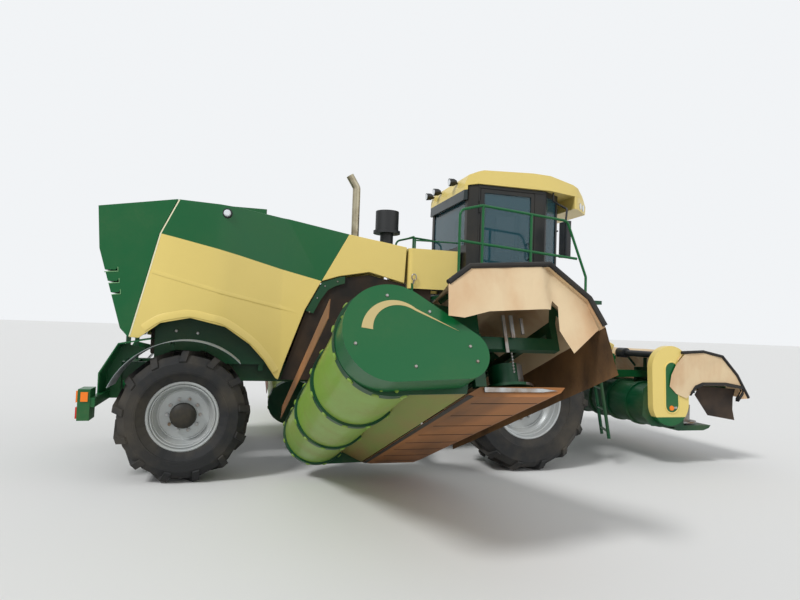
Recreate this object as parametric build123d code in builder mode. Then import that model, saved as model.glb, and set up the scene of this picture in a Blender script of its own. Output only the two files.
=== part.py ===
"""Self-propelled mower conditioner with one front mower and two side mowers, in millimetres.

+X is forward, +Y the machine's left and +Z up. The origin is on the ground, under the middle of
the whole machine with its side mowers raised for the headland, as it is parked.
"""
import os
from math import cos, degrees, hypot, pi, radians, sin, sqrt
from build123d import *

# Wheels and axles
WHEELBASE = 4140
REAR_AXLE_X = -3175
FRONT_AXLE_X = REAR_AXLE_X + WHEELBASE
OVERALL_WIDTH = 3000
FRONT_TYRE_R, FRONT_TYRE_W, FRONT_RIM_R = 855, 710, 454
REAR_TYRE_R, REAR_TYRE_W, REAR_RIM_R = 710, 600, 378
TYRE_SEAT = 0.3
RIM_WALL = 26
FRONT_HUB_R, REAR_HUB_R = 170, 130
KINGPIN_Y = OVERALL_WIDTH / 2 - 600
KINGPIN_R = 45
FENDER_GAP = 105
FENDER_T = 8

# Frame
RAIL_Y, RAIL_W = 380, 100
RAIL_Z, RAIL_H = 1010, 220
RAIL_REAR_X, RAIL_FRONT_X = -3950, 1950
FRONT_X = 4250

# Engine hood
SHEET = 30
HOOD_WIDE_Y, HOOD_NARROW_Y = 880, 600
WAIST_X = -2130
SEAM = 8
ENGINE = (1400, 860, 1000)
ENGINE_X, ENGINE_Z = -2950, 1330

# Cab and platform
CAB_Y = 850
CAB_T = 40
CAB_FLOOR_Z, CAB_TOP_Z = 2250, 3740
PLATFORM_Z, PLATFORM_Y = 2200, 1500
RAIL_TUBE_R = 17

# Side mowers, drawn flat as they mow and then raised
PIVOT_Y, PIVOT_Z = 1020, 500
REST_TILT = 20
MOWER_IN, MOWER_OUT = 290, 3620
ROLL_X, ROLL_W, ROLL_R = -1710, -90, 380
MOWER_BOTTOM = -470
DISC_X, DISC_R = -780, 190
DISC_FIRST, DISC_STEP, DISCS = 500, 415, 8
LIFT_PIN_X = -1145
PIN_R = 30
FIT = 0.5

CYLINDER_Y, CYLINDER_Z = 250, 1600
EYE_V, EYE_W = 450, 260
EAR_GAP = 68

# Front mower
LIFT_X, LIFT_Z = 2050, 1350
CARRIER_X, CARRIER_Z = 3300, 1200
FRONT_HALF = 1500

os.makedirs("parts", exist_ok=True)


def keep(piece, name):
    """Write one finished piece under its node's name."""
    piece.label = name
    export_step(piece, f"parts/{name}.step")


def keep_pair(piece, name):
    """Write the left piece and its mirror image."""
    keep(piece, name + "_left")
    keep(mirror(piece, about=Plane.XZ), name + "_right")


def slab(plane, points, depth, both=False, mode=Mode.ADD):
    """A plate with a straight-sided outline, in the piece that is being made."""
    with BuildSketch(plane) as profile:
        with BuildLine():
            Polyline(*points, close=True)
        make_face()
    extrude(profile.sketch, amount=depth, both=both, mode=mode)


def block(low, high, mode=Mode.ADD):
    """A box between two corners, in the piece that is being made."""
    size = [b - a for a, b in zip(low, high)]
    middle = [(a + b) / 2 for a, b in zip(low, high)]
    with Locations(tuple(middle)):
        Box(*size, mode=mode)


def rod(start, end, radius, mode=Mode.ADD):
    """A round bar between two points, in the piece that is being made."""
    run = Vector(*end) - Vector(*start)
    with BuildSketch(Plane(origin=start, z_dir=run)) as end_face:
        Circle(radius)
    extrude(end_face.sketch, amount=run.length, mode=mode)


def tube_path(points, radius, bend):
    """A bent tube through the points, in the piece that is being made."""
    with BuildLine() as route:
        FilletPolyline(*points, radius=bend)
    with BuildSketch(Plane(origin=route.line @ 0, z_dir=route.line % 0)) as section:
        Circle(radius)
    sweep(section.sketch, path=route.line)


def parallel(points, distance):
    """The line moved to its right by a distance, with its corners kept sharp."""
    normals = []
    for (x0, z0), (x1, z1) in zip(points, points[1:]):
        long = hypot(x1 - x0, z1 - z0)
        normals.append(((z1 - z0) / long, (x0 - x1) / long))
    moved = []
    for i, (x, z) in enumerate(points):
        before, after = normals[max(i - 1, 0)], normals[min(i, len(normals) - 1)]
        share = distance / (1 + before[0] * after[0] + before[1] * after[1])
        moved.append((x + (before[0] + after[0]) * share, z + (before[1] + after[1]) * share))
    return moved


def band(points, near, far):
    """Outline of a strip to the right of a line, between two distances from it."""
    return parallel(points, near) + parallel(points, far)[::-1]


def cut_ends(points, start, end):
    """The same line with a length cut off its start and its end."""
    (x0, z0), (x1, z1) = points[:2]
    (x2, z2), (x3, z3) = points[-2:]
    at_start = start / hypot(x1 - x0, z1 - z0)
    at_end = end / hypot(x3 - x2, z3 - z2)
    first = (x0 + (x1 - x0) * at_start, z0 + (z1 - z0) * at_start)
    last = (x3 - (x3 - x2) * at_end, z3 - (z3 - z2) * at_end)
    return [first] + points[1:-1] + [last]


def side_plane(y):
    """Sketch plane at one Y: x runs forward and y up, and extruding goes towards the right."""
    return Plane(origin=(0, y, 0), x_dir=(1, 0, 0), z_dir=(0, -1, 0))


def blocks(low, high):
    """The same box on the left and on the right, given for the left."""
    block(low, high)
    block((low[0], -high[1], low[2]), (high[0], -low[1], high[2]))


def prism(outline, low, high, mode=Mode.ADD):
    """An upright body with a straight-sided plan, in the piece that is being made."""
    slab(Plane.XY.offset(low), outline, high - low, mode=mode)


def polyhedron(corners, faces):
    """A solid with flat faces, each given by the numbers of its corners."""
    skins = [Face(Wire.make_polygon([corners[i] for i in face], close=True)) for face in faces]
    return Solid(Shell(skins))


def ring_point(y, turn, radius):
    """A point at a distance from the Y axis, turned forward from the top."""
    return (radius * sin(turn), y, radius * cos(turn))


# Wheels, made for the left side about their own axle
LUG_H, LUG_W = 48, 62
LUG_FOOT = 80
LUG_SLANT = 0.75
BEAD_IN = 70


def lug(tyre_r, half, side, turn):
    """One slanting lug, from the tread's middle line out to the shoulder."""
    slant = LUG_SLANT * (half - 80) / tyre_r
    foot = tyre_r - LUG_FOOT
    # place across the tread at the foot and at the top, turn, radius of the foot and the top, width
    stations = [(-25 * side, -25 * side, turn + slant, foot, tyre_r - 3, LUG_W),
                (side * (half - 80), side * (half - 80), turn, foot, tyre_r, LUG_W + 10),
                (side * (half - 60), side * (half - 1), turn - 0.18 * slant, foot - 110, foot - 30,
                 LUG_W + 20)]
    corners = []
    for foot_y, top_y, at, foot_r, top_r, width in stations:
        lean = width / 2 / tyre_r
        corners += [ring_point(foot_y, at - lean, foot_r), ring_point(foot_y, at + lean, foot_r),
                    ring_point(top_y, at + lean, top_r / cos(lean)),
                    ring_point(top_y, at - lean, top_r / cos(lean))]
    faces = [(0, 1, 2), (0, 2, 3), (8, 9, 10), (8, 10, 11)]
    for first in (0, 4):
        for j in range(4):
            a, b = first + j, first + (j + 1) % 4
            faces += [(a, b, b + 4), (a, b + 4, a + 4)]
    return polyhedron(corners, faces)


def tyre_body(tyre_r, half, rim_r, lugs):
    """A tyre with flat facets, two to a lug's pitch, and its lugs in two staggered rows."""
    sectors = 2 * lugs
    low = tyre_r - LUG_H
    seat_r = (rim_r + TYRE_SEAT) / cos(pi / sectors)
    profile = [(BEAD_IN - half, seat_r), (-half, rim_r + 110), (6 - half, tyre_r - 130), (80 - half, low),
               (half - 80, low), (half - 6, tyre_r - 130), (half, rim_r + 110), (half - BEAD_IN, seat_r)]
    count = len(profile)
    corners = []
    faces = []
    for i in range(sectors):
        for j, (y, radius) in enumerate(profile):
            corners.append(ring_point(y, 2 * pi * (i + 0.5) / sectors, radius))
            a, b = i * count + j, i * count + (j + 1) % count
            faces.append((a, b, (b + count) % (sectors * count), (a + count) % (sectors * count)))
    carcass = polyhedron(corners, faces)
    rows = []
    for side, stagger in ((-1, 0), (1, 0.5)):
        for i in range(lugs):
            rows.append(lug(tyre_r, half, side, pi + 2 * pi * (i + stagger) / lugs))
    return carcass.fuse(*rows).solids()[0]


def wheel(axle_x, tyre_r, tyre_w, rim_r, hub_r, lugs, name):
    """A tyre and its rim, with the outer face at half the overall width."""
    half = tyre_w / 2
    middle = OVERALL_WIDTH / 2 - half
    axle = Plane(origin=(axle_x, middle, tyre_r), x_dir=(0, 1, 0), z_dir=(1, 0, 0))
    axis = Axis((axle_x, middle, tyre_r), (0, 1, 0))
    bead = half - BEAD_IN
    tyre = Pos(axle_x, middle, tyre_r) * tyre_body(tyre_r, half, rim_r, lugs)
    disc = 40
    with BuildPart() as rim:
        with BuildSketch(axle) as section:
            with BuildLine():
                Polyline((-bead, rim_r), (bead, rim_r), (bead, rim_r - RIM_WALL),
                         (disc + 90, rim_r - 60), (disc + 24, rim_r - 110), (disc + 24, hub_r),
                         (disc + 110, hub_r), (disc + 110, 0), (disc - 60, 0), (disc - 60, hub_r),
                         (disc, hub_r), (disc, rim_r - 130), (disc - 30, rim_r - 60),
                         (-bead, rim_r - RIM_WALL), close=True)
            make_face()
        revolve(section.sketch, axis=axis)
    keep_pair(tyre, name + "_tyre")
    keep_pair(rim.part, name + "_rim")
    return middle + disc - 60


FRONT_HUB_Y = wheel(FRONT_AXLE_X, FRONT_TYRE_R, FRONT_TYRE_W, FRONT_RIM_R, FRONT_HUB_R, 14, "front")
REAR_HUB_Y = wheel(REAR_AXLE_X, REAR_TYRE_R, REAR_TYRE_W, REAR_RIM_R, REAR_HUB_R, 13, "rear")

# Front axle: a beam under the rails with a reduction hub at each end
with BuildPart() as front_axle:
    block((FRONT_AXLE_X - 130, -620, 730), (FRONT_AXLE_X + 130, 620, RAIL_Z))
    for side in (-1, 1):
        rod((FRONT_AXLE_X, side * 600, FRONT_TYRE_R), (FRONT_AXLE_X, side * FRONT_HUB_Y, FRONT_TYRE_R), 200)
keep(front_axle.part, "front_axle")

# Rear axle: a beam with a fork for the kingpin at each end
KNUCKLE_H = 150
FORK_T = 45
FORK_GAP = 6
STUB_REACH = 175
with BuildPart() as rear_axle:
    beam_z = REAR_TYRE_R
    block((REAR_AXLE_X - 90, -KINGPIN_Y + 190, beam_z - 90),
          (REAR_AXLE_X + 90, KINGPIN_Y - 190, beam_z + 90))
    block((REAR_AXLE_X - 110, -RAIL_Y - RAIL_W / 2, beam_z + 80),
          (REAR_AXLE_X + 110, RAIL_Y + RAIL_W / 2, RAIL_Z))
    for side in (-1, 1):
        for edge in (-1, 1):
            low = edge * (KNUCKLE_H / 2 + FORK_GAP)
            high = edge * (KNUCKLE_H / 2 + FORK_GAP + FORK_T)
            z0, z1 = sorted((beam_z + low, beam_z + high))
            y0, y1 = sorted((side * (KINGPIN_Y - 220), side * (KINGPIN_Y + 70)))
            block((REAR_AXLE_X - 80, y0, z0), (REAR_AXLE_X + 80, y1, z1))
        y0, y1 = sorted((side * (KINGPIN_Y - 220), side * (KINGPIN_Y - 180)))
        block((REAR_AXLE_X - 80, y0, beam_z - 120), (REAR_AXLE_X + 80, y1, beam_z + 120))
        rod((REAR_AXLE_X, side * KINGPIN_Y, beam_z - 126), (REAR_AXLE_X, side * KINGPIN_Y, beam_z + 126),
            KINGPIN_R)
keep(rear_axle.part, "rear_axle")

# Steering knuckle and the fender that turns with it
FENDER_R = REAR_TYRE_R + FENDER_GAP
FENDER_IN, FENDER_OUT = KINGPIN_Y + 60, OVERALL_WIDTH / 2 - 10
FENDER_STAY_Z = REAR_TYRE_R + sqrt(FENDER_R ** 2 - 190 ** 2) - 0.3
with BuildPart() as knuckle:
    beam_z = REAR_TYRE_R
    block((REAR_AXLE_X - 85, KINGPIN_Y - 85, beam_z - KNUCKLE_H / 2),
          (REAR_AXLE_X + 85, KINGPIN_Y + 85, beam_z + KNUCKLE_H / 2))
    rod((REAR_AXLE_X, KINGPIN_Y + 60, beam_z), (REAR_AXLE_X, KINGPIN_Y + STUB_REACH, beam_z), KNUCKLE_H / 2)
    rod((REAR_AXLE_X, KINGPIN_Y + STUB_REACH, beam_z), (REAR_AXLE_X, REAR_HUB_Y, beam_z), 120)
    block((REAR_AXLE_X - 190, KINGPIN_Y - 50, beam_z - 50), (REAR_AXLE_X + 190, KINGPIN_Y - 15, beam_z + 50))
    rod((REAR_AXLE_X, KINGPIN_Y, beam_z - 100), (REAR_AXLE_X, KINGPIN_Y, beam_z + 100), KINGPIN_R + FIT,
        mode=Mode.SUBTRACT)
    for x0, x1 in ((-190, -165), (165, 190)):
        block((REAR_AXLE_X + x0, KINGPIN_Y - 50, beam_z + 50),
              (REAR_AXLE_X + x1, KINGPIN_Y - 15, FENDER_STAY_Z))
        block((REAR_AXLE_X + x0, KINGPIN_Y - 50, FENDER_STAY_Z - 22),
              (REAR_AXLE_X + x1, 1400, FENDER_STAY_Z))
keep_pair(knuckle.part, "knuckle")

with BuildPart() as fender:
    wheel_middle = Plane(origin=(REAR_AXLE_X, FENDER_IN, REAR_TYRE_R), x_dir=(1, 0, 0), z_dir=(0, -1, 0))
    with BuildSketch(wheel_middle) as arc:
        with BuildLine():
            outer = CenterArc((0, 0), FENDER_R + FENDER_T, 45, 113)
            inner = CenterArc((0, 0), FENDER_R, 45, 113)
            Line(outer @ 0, inner @ 0)
            Line(outer @ 1, inner @ 1)
        make_face()
    extrude(arc.sketch, amount=FENDER_IN - FENDER_OUT)
keep_pair(fender.part, "fender")

# Main frame: rails, cross members, hinge plates for the side mowers and the front lift bracket,
# each seated close against the next
HINGE_X = (-1575, -545)
SEAT = 0.3
LINER_Y, LINER_T = 545.5, 10
LINER_BRACKET_X = (-3490, -2330)
RAIL_IN, RAIL_OUT = RAIL_Y - RAIL_W / 2, RAIL_Y + RAIL_W / 2
RAIL_TOP = RAIL_Z + RAIL_H
POST_FOOT = RAIL_TOP + SEAT
HOOD_POSTS = [[(-2240, POST_FOOT), (-2180, POST_FOOT), (-2180, 3073.4), (-2240, 3079.4)],
              [(-3930, POST_FOOT), (-3880, POST_FOOT), (-3880, 1570.4), (-3930, 1624.7)]]
LUG_T, ARM_T = 40, 60
PLATE_HALF, PLATE_Y, COLUMN_Z = 60, 930, 760
TOWER_GAP, TOWER_T = 62, 20
BRACKET_Y, BRACKET_T = 470, 50
with BuildPart() as main_frame:
    blocks((RAIL_REAR_X, RAIL_IN, RAIL_Z), (RAIL_FRONT_X, RAIL_OUT, RAIL_TOP))
    for x, half in ((RAIL_REAR_X + 60, 60), (-2100, 60), (LIFT_PIN_X, 100), (-300, 60),
                    (RAIL_FRONT_X - 60, 60)):
        block((x - half, SEAT - RAIL_IN, RAIL_Z + 20), (x + half, RAIL_IN - SEAT, RAIL_TOP - 10))
    for x in HINGE_X:
        face = Plane(origin=(x - PLATE_HALF, 0, 0), x_dir=(0, 1, 0), z_dir=(1, 0, 0))
        slab(face, [(-PLATE_Y, 430), (PLATE_Y, 430), (PLATE_Y, 600), (RAIL_OUT, COLUMN_Z),
                    (-RAIL_OUT, COLUMN_Z),
                    (-PLATE_Y, 600)], 2 * PLATE_HALF)
        block((x - PLATE_HALF, -RAIL_OUT, COLUMN_Z + SEAT), (x + PLATE_HALF, RAIL_OUT, RAIL_Z - SEAT))
        for lug_x in (x - ARM_T / 2 - LUG_T - FIT, x + ARM_T / 2 + FIT):
            blocks((lug_x, PLATE_Y + SEAT, PIVOT_Z - 60), (lug_x + LUG_T, PIVOT_Y + 60, PIVOT_Z + 60))
        for side in (-1, 1):
            pin_end = ARM_T / 2 + LUG_T + 20
            rod((x - pin_end, side * PIVOT_Y, PIVOT_Z), (x + pin_end, side * PIVOT_Y, PIVOT_Z), PIN_R)
    for side in (-1, 1):
        face = side_plane(max(side * BRACKET_Y, side * (BRACKET_Y + BRACKET_T)))
        slab(face, [(1750, RAIL_Z), (1950, RAIL_Z), (2160, 1250), (2160, 1640), (1980, 1640),
                    (1750, RAIL_TOP)],
             BRACKET_T)
        rod((LIFT_X, side * (BRACKET_Y + BRACKET_T + SEAT), LIFT_Z), (LIFT_X, side * 660, LIFT_Z), PIN_R)
    blocks((1750, RAIL_OUT + SEAT, RAIL_Z + 20), (1900, BRACKET_Y - SEAT, RAIL_TOP - 20))
    block((2000, SEAT - BRACKET_Y, 1560), (2120, BRACKET_Y - SEAT, 1630))
    for x in (LIFT_PIN_X - TOWER_GAP - TOWER_T, LIFT_PIN_X + TOWER_GAP):
        slab(Plane(origin=(x, 0, 0), x_dir=(0, 1, 0), z_dir=(1, 0, 0)),
             [(-320, RAIL_TOP - 10 + SEAT), (320, RAIL_TOP - 10 + SEAT), (320, 1560), (260, 1660),
              (-260, 1660),
              (-320, 1560)], TOWER_T)
    for side in (-1, 1):
        rod((LIFT_PIN_X - TOWER_GAP + SEAT, side * CYLINDER_Y, CYLINDER_Z),
            (LIFT_PIN_X + TOWER_GAP - SEAT, side * CYLINDER_Y, CYLINDER_Z), 20)
        for post in HOOD_POSTS:
            slab(side_plane(max(side * 350, side * 400)), post, 50)
    for x in LINER_BRACKET_X:
        blocks((x - 30, RAIL_OUT + SEAT, 1150), (x + 30, LINER_Y - LINER_T / 2 - SEAT, 1290))
keep(main_frame.part, "main_frame")


# Engine block on the rails
with BuildPart() as engine:
    length, width, height = ENGINE
    block((ENGINE_X - length / 2, -width / 2, ENGINE_Z), (ENGINE_X + length / 2, width / 2,
                                                          ENGINE_Z + height))
    for x in (ENGINE_X - 500, ENGINE_X + 500):
        block((x - 60, -RAIL_Y - 30, RAIL_Z + RAIL_H), (x + 60, RAIL_Y + 30, ENGINE_Z))
keep(engine.part, "engine")

# Hood: side panels that follow a plan line, with the rear wheel's arch and the mower's recess cut out
SIDE_TOP = [(-3373, 3173), (-2677, 3153), (-2051, 3091), (-1266, 2959), (-467, 2844)]
SIDE_OUTLINE = SIDE_TOP + [(-491, 2356), (-978, 2475), (-1377, 2399), (-1609, 2321), (-1811, 1937),
                           (-2050, 1250), (-2112, 1043), (-2150, 1068), (-2300, 1285), (-2484, 1482),
                           (-2783, 1688), (-3182, 1780), (-3508, 1709), (-3735, 1529), (-3841, 1537),
                           (-3561, 2756)]
PLAN = [(-4250, 800), (-3400, HOOD_WIDE_Y), (-2900, HOOD_WIDE_Y - 20), (WAIST_X, HOOD_NARROW_Y),
        (-400, HOOD_NARROW_Y - 20)]


def plan_band(outer, inner, low, high):
    """A wall that follows the hood's plan line, between two distances inside it."""
    with BuildPart() as band:
        line = [(x, y - outer) for x, y in PLAN] + [(x, y - inner) for x, y in reversed(PLAN)]
        with BuildSketch(Plane.XY.offset(low)) as plan:
            with BuildLine():
                Polyline(*line, close=True)
            make_face()
        extrude(plan.sketch, amount=high - low)
    return band.part


def plan_body(inset, low, high):
    """All that lies inside the hood's plan line."""
    with BuildPart() as body:
        line = [(x, y - inset) for x, y in PLAN]
        with BuildSketch(Plane.XY.offset(low)) as plan:
            with BuildLine():
                Polyline(*line, *[(x, -y) for x, y in reversed(line)], close=True)
            make_face()
        extrude(plan.sketch, amount=high - low)
    return body.part


wall = plan_band(0, SHEET, 900, 3300)
core = plan_body(SHEET, 900, 3300)
with BuildPart() as hood_sides:
    slab(side_plane(1000), SIDE_OUTLINE, 1000)
    add(wall, mode=Mode.INTERSECT)
    mirror(about=Plane.XZ)
keep(hood_sides.part, "hood_sides")

with BuildPart() as hood_top:
    slab(side_plane(1000), SIDE_TOP + [(x, z - SHEET) for x, z in reversed(SIDE_TOP)], 2000)
    add(core, mode=Mode.INTERSECT)
    block((-2850, -420, 3100), (-2330, 420, 3230))
    rod((-1145, -350, 2800), (-1145, -350, 3100), 52.5, mode=Mode.SUBTRACT)
    rod((-700, -350, 2700), (-700, -350, 3000), 90.5, mode=Mode.SUBTRACT)
keep(hood_top.part, "hood_top")

TAIL = [(-4244, 3035), (-3373 - SEAM, 3173), (-3561 - SEAM, 2756), (-3841 - SEAM, 1537), (-3941, 1637),
        (-4208, 2546)]
TAIL_ROOM = [(-4212, 3008), (-3350, 3145), (-3530, 2756), (-3790, 1600), (-3925, 1665), (-4177, 2546)]
with BuildPart() as tail_room:
    slab(side_plane(1000), TAIL_ROOM, 2000)
    add(core, mode=Mode.INTERSECT)
with BuildPart() as hood_tail:
    slab(side_plane(1000), TAIL, 2000)
    add(plan_body(0, 900, 3300), mode=Mode.INTERSECT)
    add(tail_room.part, mode=Mode.SUBTRACT)
    for x, z, long in ((-4150, 2280, 160), (-4100, 2150, 130), (-4060, 2020, 110)):
        slot = [(x, z), (x + long, z + 12), (x + long - 10, z + 60), (x + long - 30, z + 25), (x, z + 22)]
        slab(side_plane(1000), slot, 2000, mode=Mode.SUBTRACT)
keep(hood_tail.part, "hood_tail")

with BuildPart() as liners:
    for side in (-1, 1):
        face = side_plane(side * LINER_Y + LINER_T / 2)
        slab(face, [(-2080, 1043), (-100, 1043), (-100, 2290 - SEAT), (-460, 2290 - SEAT), (-460, 2340),
                    (-978, 2440),
                    (-1377, 2370), (-1590, 2300), (-1790, 1930)], LINER_T)
        slab(face, [(-3590, RAIL_TOP), (-2250, RAIL_TOP), (-2450, 1500), (-2783, 1705), (-3182, 1800),
                    (-3508, 1730), (-3590, 1660)], LINER_T)
    block((LIFT_PIN_X - 90, -700, 1080), (LIFT_PIN_X + 90, 700, 1540), mode=Mode.SUBTRACT)
keep(liners.part, "liners")

# Tanks between the hood and the cab
with BuildPart() as side_tanks:
    for side in (-1, 1):
        y0, y1 = sorted((side * 310, side * 600))
        block((-440, y0, 2290), (320, y1, 2835))
    fillet(side_tanks.edges().filter_by(Axis.Z), 60)
keep(side_tanks.part, "side_tanks")

with BuildPart() as exhaust:
    with BuildLine() as route:
        FilletPolyline((-1145, -350, 2930), (-1145, -350, 3640), (-1245, -350, 3800), radius=90)
    with BuildSketch(Plane(origin=route.line @ 0, z_dir=route.line % 0)) as ring:
        Circle(52)
        Circle(46, mode=Mode.SUBTRACT)
    sweep(ring.sketch, path=route.line)
keep(exhaust.part, "exhaust")

with BuildPart() as air_cleaner:
    rod((-700, -350, 2850), (-700, -350, 3040), 90)
    rod((-700, -350, 3040), (-700, -350, 3080), 185)
    rod((-700, -350, 3080), (-700, -350, 3350), 160)
keep(air_cleaner.part, "air_cleaner")

# Cab: wall panels, each with its window cut, around a floor and under a ceiling
CAB_PLAN = [(330, 730), (440, CAB_Y), (1450, CAB_Y), (1780, 620), (1930, 0), (1780, -620), (1450, -CAB_Y),
            (440, -CAB_Y), (330, -730)]
DOOR_X0, DOOR_X1 = 470, 1290
DOOR_Z0, DOOR_Z1 = 2300, 3690
GLASS_IN, GLASS_T = 14, 8
HINGE_AXIS_X, HINGE_AXIS_Y, HINGE_H = DOOR_X0 - 10, -CAB_Y - 18, 120
DOOR_HINGE_Z = (DOOR_Z0 + 200, DOOR_Z1 - 320)
# first corner, then along the wall where its window starts and ends, and the window's foot and head
CAB_WALLS = [(0, None, None, None, None),
             (1, DOOR_X0 - 440, DOOR_X1 - 440, DOOR_Z0, DOOR_Z1),
             (2, 50, 352, 2620, 3660),
             (3, 80, None, 2420, 3660),
             (4, None, 558, 2420, 3660),
             (5, 50, 352, 2620, 3660),
             (6, 1450 - DOOR_X1, 1450 - DOOR_X0, DOOR_Z0, DOOR_Z1),
             (7, None, None, None, None),
             (8, 90, 1370, 2930, 3660)]
DOOR_WALL = 6


def cab_line(depth):
    """The cab's plan, set in by a distance."""
    return parallel([CAB_PLAN[-1]] + CAB_PLAN + [CAB_PLAN[0]], depth)[1:-1]


def wall_strip(corner, start, end, near, far):
    """Plan of a stretch of one wall between two depths; None is the wall's own mitred end."""
    following = (corner + 1) % len(CAB_PLAN)
    (x0, y0), (x1, y1) = CAB_PLAN[corner], CAB_PLAN[following]
    long = hypot(x1 - x0, y1 - y0)
    along = ((x1 - x0) / long, (y1 - y0) / long)
    inward = (along[1], -along[0])
    ends = []
    for place, number, step in ((start, corner, SEAT / 2), (end, following, -SEAT / 2)):
        pair = []
        for depth in (near, far):
            if place is None:
                x, y = cab_line(depth)[number]
                pair.append((x + along[0] * step, y + along[1] * step))
            else:
                pair.append((x0 + along[0] * place + inward[0] * depth,
                             y0 + along[1] * place + inward[1] * depth))
        ends.append(pair)
    return [ends[0][0], ends[1][0], ends[1][1], ends[0][1]]


with BuildPart() as cab_shell:
    for corner, start, end, foot, head in CAB_WALLS:
        if foot is None:
            prism(wall_strip(corner, None, None, 0, CAB_T), CAB_FLOOR_Z, CAB_TOP_Z)
            continue
        prism(wall_strip(corner, None, None, 0, CAB_T), CAB_FLOOR_Z, foot)
        prism(wall_strip(corner, None, None, 0, CAB_T), head, CAB_TOP_Z)
        if start is not None:
            prism(wall_strip(corner, None, start, 0, CAB_T), foot + SEAT, head - SEAT)
        if end is not None:
            prism(wall_strip(corner, end, None, 0, CAB_T), foot + SEAT, head - SEAT)
    for low in (CAB_FLOOR_Z, CAB_TOP_Z - CAB_T):
        prism(cab_line(CAB_T + SEAT), low, low + CAB_T)
    for z in DOOR_HINGE_Z:
        for low in (z - 25, z + HINGE_H + SEAT):
            block((HINGE_AXIS_X - 14, HINGE_AXIS_Y - 14, low),
                  (HINGE_AXIS_X + 9, -CAB_Y - SEAT, low + 25 - SEAT))
        rod((HINGE_AXIS_X, HINGE_AXIS_Y, z - 25), (HINGE_AXIS_X, HINGE_AXIS_Y, z + HINGE_H + 20), 6)
keep(cab_shell.part, "cab_shell")

with BuildPart() as cab_glass:
    for corner, start, end, foot, head in CAB_WALLS:
        if foot is not None and corner != DOOR_WALL:
            pane = wall_strip(corner, start and start + SEAT, end and end - SEAT, GLASS_IN,
                              GLASS_IN + GLASS_T)
            prism(pane, foot + SEAT, head - SEAT)
keep(cab_glass.part, "cab_glass")

ROOF = [(280, 3540), (290, 3760), (330, 3880), (500, 3930), (1230, 3960), (1500, 3950), (1950, 3900),
        (2250, 3800), (2400, 3680), (2380, 3560), (1990, 3560), (1990, CAB_TOP_Z), (320, CAB_TOP_Z),
        (320, 3540)]
ROOF_PLAN = [(280, 700), (420, 880), (1500, 900), (2050, 720), (2400, 380)]
LAMP_R = 48
ROOF_LAMPS = []
for side in (-1, 1):
    for x, y in ((2160, 613), (2275, 501)):
        ROOF_LAMPS.append(((x - 28, side * (y - 29), 3632), (x + 7, side * (y + 7), 3632)))
with BuildPart() as cab_roof:
    slab(side_plane(900), ROOF, 1800)
    prism(ROOF_PLAN + [(x, -y) for x, y in reversed(ROOF_PLAN)], 0, 4200, mode=Mode.INTERSECT)
    for start, end in ROOF_LAMPS:
        rod(start, end, LAMP_R + 2, mode=Mode.SUBTRACT)
    block((200, -1000, CAB_TOP_Z - SEAT), (320 + SEAT, 1000, CAB_TOP_Z), mode=Mode.SUBTRACT)
    block((1990 - SEAT, -1000, CAB_TOP_Z - SEAT), (2500, 1000, CAB_TOP_Z), mode=Mode.SUBTRACT)
keep(cab_roof.part, "cab_roof")

# Cab door on the right, hung on two round hinges at its rear edge, with its window
DOOR_GAP, DOOR_T = 6, 35
with BuildPart() as door:
    block((DOOR_X0 + DOOR_GAP, -CAB_Y, DOOR_Z0 + DOOR_GAP),
          (DOOR_X1 - DOOR_GAP, DOOR_T - CAB_Y, DOOR_Z1 - DOOR_GAP))
    block((DOOR_X0 + 60, -1000, DOOR_Z0 + 80), (DOOR_X1 - 60, 0, DOOR_Z1 - 60), mode=Mode.SUBTRACT)
    for z in DOOR_HINGE_Z:
        rod((HINGE_AXIS_X, HINGE_AXIS_Y, z), (HINGE_AXIS_X, HINGE_AXIS_Y, z + HINGE_H), 14)
        block((HINGE_AXIS_X, -CAB_Y - 14, z), (DOOR_X0 + 60, -CAB_Y - 3, z + HINGE_H))
        block((DOOR_X0 + DOOR_GAP, -CAB_Y - 5, z), (DOOR_X0 + 60, -CAB_Y + 1, z + HINGE_H))
        rod((HINGE_AXIS_X, HINGE_AXIS_Y, z), (HINGE_AXIS_X, HINGE_AXIS_Y, z + HINGE_H), 6.5,
            mode=Mode.SUBTRACT)
keep(door.part, "door")
with BuildPart() as door_glass:
    block((DOOR_X0 + 60 + SEAT, -CAB_Y + GLASS_IN, DOOR_Z0 + 80 + SEAT),
          (DOOR_X1 - 60 - SEAT, -CAB_Y + GLASS_IN + GLASS_T, DOOR_Z1 - 60 - SEAT))
keep(door_glass.part, "door_glass")


# Seat and steering column
with BuildPart() as cab_interior:
    floor_z = CAB_FLOOR_Z + CAB_T
    block((600, -180, floor_z), (1000, 180, floor_z + 330))
    block((560, -260, floor_z + 330), (1080, 260, floor_z + 470))
    backrest = [(560, floor_z + 470), (690, floor_z + 470), (620, floor_z + 1120), (500, floor_z + 1120)]
    slab(side_plane(230), backrest, 460)
    block((700, -420, floor_z), (1150, -300, floor_z + 600))
    rod((1498, 0, floor_z + 12), (1380, 0, floor_z + 640), 60)
    rod((1384, 0, floor_z + 620), (1370, 0, floor_z + 690), 190)
keep(cab_interior.part, "cab_interior")

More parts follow.
